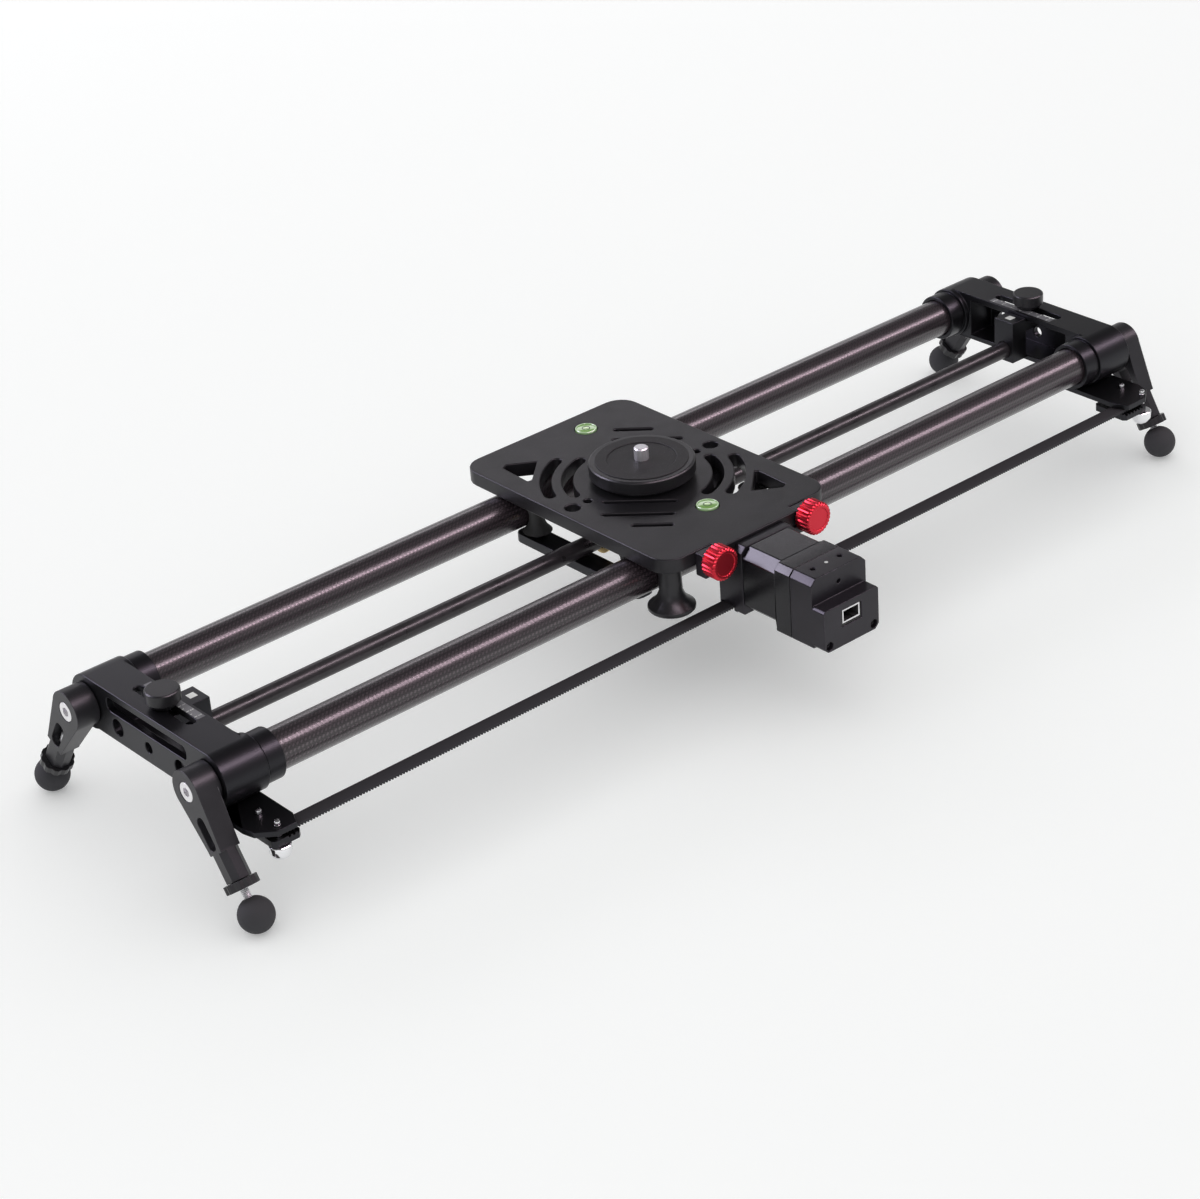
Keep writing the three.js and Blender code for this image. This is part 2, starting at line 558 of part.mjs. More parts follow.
function headScrew() {
  const bottom = SEAT_Z - 13.6;
  return turned([[0, bottom], [4.6, bottom], [4.6, SEAT_Z + 7.2], [3.8, SEAT_Z + 8], [0, SEAT_Z + 8]], 20);
}

function panArm() {
  const arm = prism('z', slotOutline([-PAN_ARM_LENGTH, 0], [0, 0], 14, 6), 4, 9);
  const hub = rod('z', 13, 0, 0, 4, 9);
  return cut(join(arm, hub), rod('z', 8 + FIT_GAP, 0, 0, 3, 10),
    rod('z', 3.2 + FIT_GAP, -PAN_ARM_LENGTH, 0, 3, 10, 20));
}

function rodFollower() {
  const ring = rod('x', 9.2, 0, ROD_Z, -PAN_ARM_LENGTH - 7.5, -PAN_ARM_LENGTH + 7.5);
  const post = rod('z', 3.2, -PAN_ARM_LENGTH, 0, ROD_Z + 7, 8.8, 20);
  const bore = rod('x', ROD_RADIUS + 0.35, 0, ROD_Z, -PAN_ARM_LENGTH - 9, -PAN_ARM_LENGTH + 9);
  return cut(join(ring, post), bore);
}

function lockKnob() {
  const top = PLATE_UNDER - FIT_GAP;
  return moved(turned([[0, -17.4], [13.2, -17.4], [14.7, -16], [14.7, -14], [13.2, -12.9], [9.4, -9.4],
    [7.2, -4.5], [7, 2], [7, top], [3, top], [3, PLATE_TOP_Z - 3.5], [0, PLATE_TOP_Z - 3.5]]),
  LOBE_X, LOBE_Y, 0);
}

/** Fluted knob with its threaded stem, along y. */
function thumbScrew(x) {
  const outline = [];
  const flutes = 18;
  for (let i = 0; i < flutes * 3; i += 1) {
    const a = (2 * Math.PI * i) / (flutes * 3);
    const r = THUMB_RADIUS - (i % 3 === 0 ? 1 : 0);
    outline.push([THUMB_Z + r * Math.sin(a), x + r * Math.cos(a)]);
  }
  const back = EAR_FRONT - FIT_GAP;
  const knob = prism('y', outline.reverse(), back - THUMB_THICK, back);
  const face = prism('y', circle(THUMB_RADIUS - 1.3, SEGMENTS, THUMB_Z, x),
    back - THUMB_THICK - 0.6, back - THUMB_THICK + 1);
  const stem = prism('y', circle(3.2, 20, THUMB_Z, x), back - 1, BODY_FRONT + 8.5);
  return join(knob, face, stem);
}

// ---------------------------------------------------------------- drive unit
function along(outline, from, to) {
  return prism('y', outline.map(([x, z]) => [z, x]).reverse(), from, to);
}

function motorMount() {
  const w = MOTOR_WIDTH / 2;
  const front = along(chamferedRect(-w, w, MOTOR_BOTTOM, MOTOR_TOP_Z, 4, 1), MOUNT_FRONT,
    TAB_FRONT - FIT_GAP);
  const rear = box(-w, w, TAB_FRONT - FIT_GAP - 1, MOUNT_REAR, MOTOR_BOTTOM, PLATE_UNDER - FIT_GAP);
  const bar = box(-THUMB_HALF_SPAN - 7, THUMB_HALF_SPAN + 7, EAR_FRONT, BODY_FRONT - FIT_GAP,
    PLATE_UNDER - 6, PLATE_UNDER - FIT_GAP);
  const ears = [];
  const holes = [];
  for (const x of [-THUMB_HALF_SPAN, THUMB_HALF_SPAN]) {
    const inner = Math.sign(x) * (TAB_HALF_WIDTH + FIT_GAP);
    ears.push(box(inner, x + Math.sign(x) * 7, EAR_FRONT, BODY_FRONT - FIT_GAP,
      PLATE_UNDER - 6, PLATE_TOP_Z - 0.6));
    holes.push(prism('y', circle(3.5, 24, THUMB_Z, x), EAR_FRONT - 1, BODY_FRONT + 1));
  }
  const [y0, y1] = [BELT_Y - BELT_WIDTH / 2 - 0.6, BELT_Y + BELT_WIDTH / 2 + 0.4];
  const room = box(-20, 20, y0, y1, MOTOR_BOTTOM - 1, MOTOR_AXIS_Z + 11);
  const pass = box(-w - 1, w + 1, y0, y1, MOTOR_BOTTOM - 1, BELT_TOP_Z + 0.6);
  const shaft = prism('y', circle(2.9, 24, MOTOR_AXIS_Z, 0), MOUNT_FRONT - 1, y0 + 1);
  const pins = [-IDLER_X, IDLER_X].map((x) => prism('y', circle(1.8, 20, IDLER_Z, x), y0 - 1, y1 - 0.6));
  return join(cut(join(front, rear, bar, ...ears), room, pass, shaft, ...holes), ...pins);
}

function motorBody() {
  const w = MOTOR_WIDTH / 2;
  const stack = along(chamferedRect(-w + 0.4, w - 0.4, MOTOR_BOTTOM + 3.8, MOTOR_TOP_Z - 0.4, 6.5, 4),
    LAMINATION_FRONT, MOTOR_REAR);
  const flange = along(chamferedRect(-w, w, MOTOR_BOTTOM, MOTOR_TOP_Z, 4, 1),
    FLANGE_FRONT, LAMINATION_FRONT + 0.01);
  const bore = prism('y', circle(2.9, 24, MOTOR_AXIS_Z, 0), MOTOR_REAR - 14, MOTOR_REAR + 1);
  return cut(join(stack, flange), bore);
}

const SOCKET = { x: 8.2, z0: -11.8, z1: -0.9, depth: 13 };

function endCover() {
  const w = MOTOR_WIDTH / 2;
  const upper = along(chamferedRect(-w, w, MOTOR_BOTTOM, MOTOR_TOP_Z, 4, 1), COVER_FRONT, COVER_REAR);
  const lower = along(chamferedRect(-w, w, MOTOR_BOTTOM, SOCKET_TOP_Z, 1.6, 3), SOCKET_FRONT,
    COVER_FRONT + 1);
  const socket = box(-SOCKET.x, SOCKET.x, SOCKET_FRONT - 1, SOCKET_FRONT + SOCKET.depth,
    SOCKET.z0, SOCKET.z1);
  const cuts = [];
  for (const x of [-18.2, 18.2]) {
    cuts.push(prism('y', circle(2.7, 24, MOTOR_BOTTOM + 4, x), SOCKET_FRONT - 1, SOCKET_FRONT + 4));
  }
  for (const x of [-11, 11]) {
    cuts.push(rod('z', 1.7, x, COVER_REAR - 8, MOTOR_TOP_Z - 3, MOTOR_TOP_Z + 1, 20));
  }
  cuts.push(prism('y', circle(1.4, 20, MOTOR_TOP_Z - 9, 0), COVER_FRONT - 1, COVER_FRONT + 4));
  return cut(join(upper, lower), socket, ...cuts);
}

function dataJack() {
  const [x, z0, z1] = [SOCKET.x - 0.25, SOCKET.z0 + 0.25, SOCKET.z1 - 0.25];
  const shell = box(-x, x, SOCKET_FRONT + 0.6, SOCKET_FRONT + SOCKET.depth - 0.3, z0, z1);
  const mouth = box(-x + 1.9, x - 1.9, SOCKET_FRONT, SOCKET_FRONT + 10, z0 + 2.6, z1 - 1);
  const latch = box(-3, 3, SOCKET_FRONT, SOCKET_FRONT + 10, z0 + 1, z0 + 3);
  return cut(shell, mouth, latch);
}

function drivePulley() {
  const [y0, y1] = [BELT_Y - BELT_WIDTH / 2, BELT_Y + BELT_WIDTH / 2];
  const outline = [];
  for (let i = 0; i < 56; i += 1) {
    const a = (2 * Math.PI * i) / 56;
    const r = PULLEY_RADIUS - (i % 4 < 2 ? 0.9 : 0);
    outline.push([MOTOR_AXIS_Z + r * Math.sin(a), r * Math.cos(a)]);
  }
  const wheel = prism('y', outline.reverse(), y0, y1);
  const shaft = prism('y', circle(2.5, 24, MOTOR_AXIS_Z, 0), MOTOR_REAR - 13, y0 + 1);
  return join(wheel, shaft);
}

function idler(x) {
  const [y0, y1] = [BELT_Y - BELT_WIDTH / 2, BELT_Y + BELT_WIDTH / 2];
  return cut(prism('y', circle(IDLER_RADIUS, 32, IDLER_Z, x), y0, y1),
    prism('y', circle(2.1, 20, IDLER_Z, x), y0 - 1, y1 + 1));
}

/** The turn of belt that goes up over the pulley between the idlers. */
function beltLoop() {
  const [y0, y1] = [BELT_Y - BELT_WIDTH / 2, BELT_Y + BELT_WIDTH / 2];
  const foot = BELT_TOP_Z + FIT_GAP;
  const arch = (r) => {
    const points = [[-r, foot], [r, foot]];
    for (let i = 0; i <= 20; i += 1) {
      const a = (Math.PI * i) / 20;
      points.push([r * Math.cos(a), MOTOR_AXIS_Z + r * Math.sin(a)]);
    }
    return points;
  };
  const inner = PULLEY_RADIUS + FIT_GAP;
  return cut(along(arch(inner + LOOP_THICK), y0, y1),
    along(arch(inner), y0 - 1, y1 + 1), box(-inner, inner, y0 - 1, y1 + 1, foot - 1, foot + 1));
}

// ---------------------------------------------------------------- the slider
const onCarriage = (piece) => moved(piece, CARRIAGE_X, 0, 0);

add('carbon_tube_front', carbonTube(-TUBE_Y), FINISH.carbon);
add('carbon_tube_back', carbonTube(TUBE_Y), FINISH.carbon);
add('guide_rod', guideRod(), FINISH.darkRod);
add('drive_belt', driveBelt(), FINISH.rubber);

const PLATE_REACH = {
  left: [BRACKET_IN + 1, BRACKET_OUT + 1.4], right: [BRACKET_IN - 8, BRACKET_OUT - 3.6],
};
for (const [end, s] of [['left', -1], ['right', 1]]) {
  add(`end_bracket_${end}`, endBracket(s), FINISH.anodised);
  add(`rod_carrier_${end}`, rodCarrier(s), FINISH.anodised);
  add(`offset_knob_${end}`, offsetKnob(s), FINISH.anodised);
  add(`belt_plate_${end}`, beltPlate(s, ...PLATE_REACH[end]), FINISH.anodised);
  add(`belt_clamp_${end}`, beltClamp(s, ...PLATE_REACH[end]), FINISH.anodised);
  add(`belt_nut_${end}`, beltNut(s), FINISH.chrome);
}

const LEGS = [['front_left', -1, -1, FRONT_LEFT_REACH], ['front_right', 1, -1, FRONT_RIGHT_REACH],
  ['back_left', -1, 1, BACK_REACH], ['back_right', 1, 1, BACK_REACH]];
for (const [place, s, side, reach] of LEGS) {
  add(`leg_${place}`, splayed(leg(s), side, reach), FINISH.anodised);
  add(`leg_bolt_${place}`, splayed(legBolt(s), side, reach), FINISH.steel);
  add(`lock_nut_${place}`, splayed(lockNut(s), side, reach), FINISH.anodised);
  add(`foot_screw_${place}`, splayed(footScrew(s, reach), side, reach), FINISH.steel);
  add(`ball_foot_${place}`, ballFoot(s, side, reach), FINISH.rubber);
}

add('carriage_plate', onCarriage(carriagePlate()), FINISH.anodised);
add('level_front', onCarriage(level(...LEVELS[0])), FINISH.acrylic);
add('level_back', onCarriage(level(...LEVELS[1])), FINISH.acrylic);
for (const [end, s] of [['left', -1], ['right', 1]]) {
  add(`cross_bar_${end}`, onCarriage(crossBar(s * ROLLER_STATION)), FINISH.anodised);
  add(`roller_front_${end}`, onCarriage(roller(s * ROLLER_STATION, -ROLLER_Y)), FINISH.plastic);
  add(`roller_back_${end}`, onCarriage(roller(s * ROLLER_STATION, ROLLER_Y)), FINISH.plastic);
  add(`thumb_screw_${end}`, onCarriage(thumbScrew(s * THUMB_HALF_SPAN)), FINISH.red);
  add(`idler_${end}`, onCarriage(idler(s * IDLER_X)), FINISH.steel);
}
add('turntable', onCarriage(turntable()), FINISH.anodised);
add('head_screw', onCarriage(headScrew()), FINISH.steel);
add('pan_arm', onCarriage(panArm()), FINISH.anodised);
add('rod_follower', onCarriage(rodFollower()), FINISH.brass);
add('lock_knob', onCarriage(lockKnob()), FINISH.anodised);
add('motor_mount', onCarriage(motorMount()), FINISH.anodised);
add('motor_body', onCarriage(motorBody()), FINISH.anodised);
add('end_cover', onCarriage(endCover()), FINISH.anodised);
add('data_jack', onCarriage(dataJack()), FINISH.plastic);
add('drive_pulley', onCarriage(drivePulley()), FINISH.steel);
add('belt_loop', onCarriage(beltLoop()), FINISH.rubber);

export default group;
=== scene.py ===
"""Looks of the motorised camera slider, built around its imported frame.

Every length in this file is in metres and every place is in the frame's own axes: +X along the
rails, +Y to the back, +Z up, with the floor at zero.  Parts whose frame shape is already right
keep it and get rounded edges and a finish; the others are modelled here in full.
"""

import json
import logging
import math
from dataclasses import dataclass, field
from enum import Enum
from typing import Dict, List, Optional, Sequence, Tuple

import bpy
from mathutils import Matrix, Vector

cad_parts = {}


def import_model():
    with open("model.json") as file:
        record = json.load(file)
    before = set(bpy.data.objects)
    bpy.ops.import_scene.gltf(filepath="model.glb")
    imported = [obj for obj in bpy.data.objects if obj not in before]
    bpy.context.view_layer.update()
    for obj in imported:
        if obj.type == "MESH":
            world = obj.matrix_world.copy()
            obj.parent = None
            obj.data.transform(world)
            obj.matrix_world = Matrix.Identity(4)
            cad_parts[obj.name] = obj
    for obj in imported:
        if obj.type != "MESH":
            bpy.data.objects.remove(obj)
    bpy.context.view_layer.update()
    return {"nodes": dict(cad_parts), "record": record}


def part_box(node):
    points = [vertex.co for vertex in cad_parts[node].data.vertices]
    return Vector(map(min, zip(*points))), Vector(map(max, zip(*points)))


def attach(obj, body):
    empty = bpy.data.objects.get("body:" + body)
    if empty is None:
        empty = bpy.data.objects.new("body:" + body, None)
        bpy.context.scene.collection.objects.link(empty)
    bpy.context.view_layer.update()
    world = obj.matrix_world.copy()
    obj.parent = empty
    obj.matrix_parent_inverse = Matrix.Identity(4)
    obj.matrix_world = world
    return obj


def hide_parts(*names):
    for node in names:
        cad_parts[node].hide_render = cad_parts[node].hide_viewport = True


LOG = logging.getLogger("slider")
MM = 0.001

Colour = Tuple[float, float, float]
Ring = Tuple[float, float]


class Along(Enum):
    """The axis that a turned part lies along, as the turn that takes +Z to it."""

    X = Matrix.Rotation(math.radians(90), 4, "Y")
    Z = Matrix.Identity(4)
    FRONT = Matrix.Rotation(math.radians(90), 4, "X")


class End(Enum):
    """An end of the slider, with its sign along X."""

    LEFT = -1
    RIGHT = 1

    @property
    def word(self) -> str:
        """The end's name in lower case, as the frame's nodes spell it."""
        return self.name.lower()


def place(centre: Sequence[float], along: Along = Along.Z) -> Matrix:
    """Gives the placing matrix for a part modelled upright at the origin.

    Args:
        centre: where the part's own origin goes.
        along: the axis its own +Z goes to.

    Returns:
        The 4 by 4 matrix.
    """
    return Matrix.Translation(Vector(centre)) @ along.value


def middle(node: str) -> Vector:
    """Gives the centre of a frame node's box.

    Args:
        node: the node's name.

    Returns:
        The centre point.
    """
    low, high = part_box(node)
    return (low + high) / 2


# ---------------------------------------------------------------------------------------------
# Modelling
# ---------------------------------------------------------------------------------------------


class Bench:
    """Makes meshes with the edit-mode tools, each one left at rest at the origin."""

    @staticmethod
    def clear() -> None:
        """Leaves edit mode and deselects everything."""
        if bpy.context.object is not None and bpy.context.object.mode != "OBJECT":
            bpy.ops.object.mode_set(mode="OBJECT")
        bpy.ops.object.select_all(action="DESELECT")

    @staticmethod
    def settle(obj: bpy.types.Object, name: str, where: Matrix) -> bpy.types.Object:
        """Names a part and puts its place into its mesh.

        Args:
            obj: the part.
            name: its name.
            where: its placing matrix.

        Returns:
            The same part.
        """
        Bench.clear()
        obj.select_set(True)
        bpy.context.view_layer.objects.active = obj
        obj.name = name
        obj.data.name = name
        obj.matrix_world = where @ obj.matrix_world
        bpy.ops.object.transform_apply(location=True, rotation=True, scale=True)
        obj.select_set(False)
        return obj

    @staticmethod
    def turned(name: str, rings: Sequence[Ring], where: Matrix, sides: int = 48) -> bpy.types.Object:
        """Models a turned part by pulling a disc up ring by ring.

        Args:
            name: the part's name.
            rings: radius and height of each ring, the first one being the starting disc.
            where: the placing matrix.
            sides: sides of the disc.

        Returns:
            The part.
        """
        Bench.clear()
        radius, height = rings[0]
        bpy.ops.mesh.primitive_circle_add(
            vertices=sides, radius=radius, fill_type="NGON", location=(0, 0, height)
        )
        obj = bpy.context.object
        bpy.ops.object.mode_set(mode="EDIT")
        bpy.ops.mesh.select_all(action="SELECT")
        for next_radius, next_height in rings[1:]:
            bpy.ops.mesh.extrude_region_move(
                TRANSFORM_OT_translate={"value": (0, 0, next_height - height)}
            )
            if abs(next_radius - radius) > 1e-9:
                share = max(next_radius, 1e-6) / radius
                bpy.ops.transform.resize(
                    value=(share, share, 1), center_override=(0, 0, next_height)
                )
            radius, height = max(next_radius, 1e-6), next_height
        bpy.ops.mesh.select_all(action="SELECT")
        bpy.ops.mesh.normals_make_consistent(inside=False)
        bpy.ops.object.mode_set(mode="OBJECT")
        return Bench.settle(obj, name, where)

    @staticmethod
    def block(
        name: str, low: Sequence[float], high: Sequence[float], soften: float
    ) -> bpy.types.Object:
        """Models a block with rounded edges.

        Args:
            name: the part's name.
            low: its lowest corner.
            high: its highest corner.
            soften: the width of the rounding.

        Returns:
            The part.
        """
        Bench.clear()
        size = [b - a for a, b in zip(low, high)]
        centre = [(a + b) / 2 for a, b in zip(low, high)]
        bpy.ops.mesh.primitive_cube_add(size=1, location=centre, scale=size)
        obj = bpy.context.object
        bpy.ops.object.transform_apply(location=True, rotation=True, scale=True)
        bpy.ops.object.mode_set(mode="EDIT")
        bpy.ops.mesh.select_all(action="SELECT")
        bpy.ops.mesh.bevel(offset=soften, segments=2, affect="EDGES")
        bpy.ops.object.mode_set(mode="OBJECT")
        return Bench.settle(obj, name, Matrix.Identity(4))

    @staticmethod
    def fluted(
        name: str, radius: float, depth: float, length: float, count: int, where: Matrix
    ) -> bpy.types.Object:
        """Models a knob head with grooves round its rim and a rounded front edge.

        Args:
            name: the part's name.
            radius: outer radius.
            depth: depth of a groove.
            length: length of the head.
            count: number of grooves.
            where: the placing matrix, the front of the head being on +Z.

        Returns:
            The part.
        """
        Bench.clear()
        step = 6
        bpy.ops.mesh.primitive_circle_add(vertices=count * step, radius=radius, fill_type="NGON")
        obj = bpy.context.object
        for index, vertex in enumerate(obj.data.vertices):
            share = {0: depth, 1: depth * 0.62, 5: depth * 0.62}.get(index % step, 0.0)
            vertex.co *= (radius - share) / radius
        bpy.ops.object.mode_set(mode="EDIT")
        bpy.ops.mesh.select_all(action="SELECT")
        rim = length * 0.12
        bpy.ops.mesh.extrude_region_move(TRANSFORM_OT_translate={"value": (0, 0, rim)})
        bpy.ops.mesh.extrude_region_move(TRANSFORM_OT_translate={"value": (0, 0, length - 2 * rim)})
        for drop, shrink in ((0.45, 0.955), (0.35, 0.955), (0.2, 0.96)):
            bpy.ops.mesh.extrude_region_move(TRANSFORM_OT_translate={"value": (0, 0, rim * drop)})
            bpy.ops.transform.resize(value=(shrink, shrink, 1), center_override=(0, 0, 0))
        bpy.ops.mesh.extrude_region_move(TRANSFORM_OT_translate={"value": (0, 0, 0)})
        bpy.ops.transform.resize(value=(0.82, 0.82, 1), center_override=(0, 0, 0))
        bpy.ops.mesh.extrude_region_move(TRANSFORM_OT_translate={"value": (0, 0, -rim * 0.3)})
        bpy.ops.transform.resize(value=(0.96, 0.96, 1), center_override=(0, 0, 0))
        bpy.ops.mesh.select_all(action="SELECT")
        bpy.ops.mesh.normals_make_consistent(inside=False)
        bpy.ops.object.mode_set(mode="OBJECT")
        return Bench.settle(obj, name, where)

    @staticmethod
    def joined(name: str, parts: Sequence[bpy.types.Object]) -> bpy.types.Object:
        """Joins parts into one.

        Args:
            name: the joined part's name.
            parts: the parts, at least one.

        Returns:
            The joined part.
        """
        Bench.clear()
        for part in parts:
            part.select_set(True)
        bpy.context.view_layer.objects.active = parts[0]
        if len(parts) > 1:
            bpy.ops.object.join()
        return Bench.settle(parts[0], name, Matrix.Identity(4))

    @staticmethod
    def repeated(obj: bpy.types.Object, count: int, step: Sequence[float]) -> bpy.types.Object:
        """Repeats a part in a row and applies the row.

        Args:
            obj: the part.
            count: how many there are in the row.
            step: the way from one to the next.

        Returns:
            The same part.
        """
        Bench.clear()
        obj.select_set(True)
        bpy.context.view_layer.objects.active = obj
        row = obj.modifiers.new("row", "ARRAY")
        row.count = count
        row.use_relative_offset = False
        row.use_constant_offset = True
        row.constant_offset_displace = step
        bpy.ops.object.modifier_apply(modifier=row.name)
        obj.select_set(False)
        return obj

    @staticmethod
    def lettered(name: str, words: str, height: float, where: Matrix) -> bpy.types.Object:
        """Models flat printed figures, as for a scale.

        Args:
            name: the part's name.
            words: the figures.
            height: their height.
            where: the placing matrix, the print facing +Z.

        Returns:
            The part, as a mesh.
        """
        Bench.clear()
        bpy.ops.object.text_add()
        obj = bpy.context.object
        obj.data.body = words
        obj.data.size = height
        obj.data.extrude = 0.02 * MM
        obj.data.align_x = "CENTER"
        obj.data.align_y = "CENTER"
        obj.data.resolution_u = 3
        bpy.ops.object.convert(target="MESH")
        return Bench.settle(bpy.context.object, name, where)

    @staticmethod
    def smooth(obj: bpy.types.Object, degrees: float = 32.0) -> bpy.types.Object:
        """Shades a part smooth except across its sharp edges."""
        Bench.clear()
        obj.select_set(True)
        bpy.context.view_layer.objects.active = obj
        bpy.ops.object.shade_smooth_by_angle(angle=math.radians(degrees))
        obj.select_set(False)
        return obj


def fit_out(
    obj: bpy.types.Object, body: str, finish: "Finish", replaces: Sequence[str] = ()
) -> bpy.types.Object:
    """Gives a finished part its finish, its body and the frame nodes it stands for.

    Args:
        obj: the part.
        body: the frame body it rides on.
        finish: its finish.
        replaces: frame nodes it stands for.

    Returns:
        The same part.
    """
    obj.data.materials.clear()
    obj.data.materials.append(finish.material())
    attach(obj, body)
    if replaces:
        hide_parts(*replaces)
    LOG.info("piece %s rides on %s, %d faces", obj.name, body, len(obj.data.polygons))
    return obj


# ---------------------------------------------------------------------------------------------
# Finishes
# ---------------------------------------------------------------------------------------------


class Sheet:
    """A node tree being laid out: adds nodes, sets their sockets and joins them."""

    def __init__(self, tree: bpy.types.NodeTree) -> None:
        """Takes the tree to lay out."""
        self.tree = tree

    def add(self, kind: str, inputs: Optional[Dict] = None, **settings: object) -> bpy.types.Node:
        """Adds a node.

        Args:
            kind: the node type without its ShaderNode prefix.
            inputs: values or output sockets by input name or number.
            settings: the node's own properties.

        Returns:
            The node.
        """
        node = self.tree.nodes.new("ShaderNode" + kind)
        for key, value in settings.items():
            setattr(node, key, value)
        for key, value in (inputs or {}).items():
            if isinstance(value, bpy.types.NodeSocket):
                self.tree.links.new(value, node.inputs[key])
            else:
                node.inputs[key].default_value = value
        return node

    def math(
        self, operation: str, a: object, b: object = 0.0, clamp: bool = False
    ) -> bpy.types.NodeSocket:
        """Adds a math node and gives its output.

        Args:
            operation: the math operation.
            a: first value or socket.
            b: second value or socket.
            clamp: whether the result is kept between 0 and 1.

        Returns:
            The output socket.
        """
        return self.add("Math", {0: a, 1: b}, operation=operation, use_clamp=clamp).outputs[0]

    def scaled(self, value: object, by: object, plus: float) -> bpy.types.NodeSocket:
        """Gives a value times one number, plus another.

        Args:
            value: the value or socket.
            by: what it is multiplied by.
            plus: what is added.

        Returns:
            The output socket.
        """
        return self.add("Math", {0: value, 1: by, 2: plus}, operation="MULTIPLY_ADD").outputs[0]

    def effect(
        self, tree: bpy.types.NodeTree, where: bpy.types.NodeSocket, **amounts: float
    ) -> bpy.types.Node:
        """Places a shared effect in the tree.

        Args:
            tree: the effect's node group.
            where: the place on the piece that it is read at.
            amounts: values of its other inputs, an underscore standing for a space.

        Returns:
            The group node.
        """
        inputs = {name.replace("_", " "): value for name, value in amounts.items()}
        return self.add("Group", {"Vector": where, **inputs}, node_tree=tree)

    def blend(self, share: object, a: object, b: object) -> bpy.types.NodeSocket:
        """Mixes two colours and gives the output.

        Args:
            share: how much of b shows.
            a: first colour or socket.
            b: second colour or socket.

        Returns:
            The output socket.
        """
        node = self.add("Mix", {0: share}, data_type="RGBA")
        for number, value in ((6, a), (7, b)):
            if isinstance(value, bpy.types.NodeSocket):
                self.tree.links.new(value, node.inputs[number])
            else:
                node.inputs[number].default_value = (*value, 1.0)
        return node.outputs[2]

    def ramp(self, value: bpy.types.NodeSocket, low: float, high: float) -> bpy.types.NodeSocket:
        """Stretches a value so that low becomes 0 and high becomes 1.

        Args:
            value: the value.
            low: what becomes 0.
            high: what becomes 1.

        Returns:
            The stretched value, kept between 0 and 1.
        """
        node = self.add("MapRange", {"Value": value, "From Min": low, "From Max": high}, clamp=True)
        return node.outputs[0]


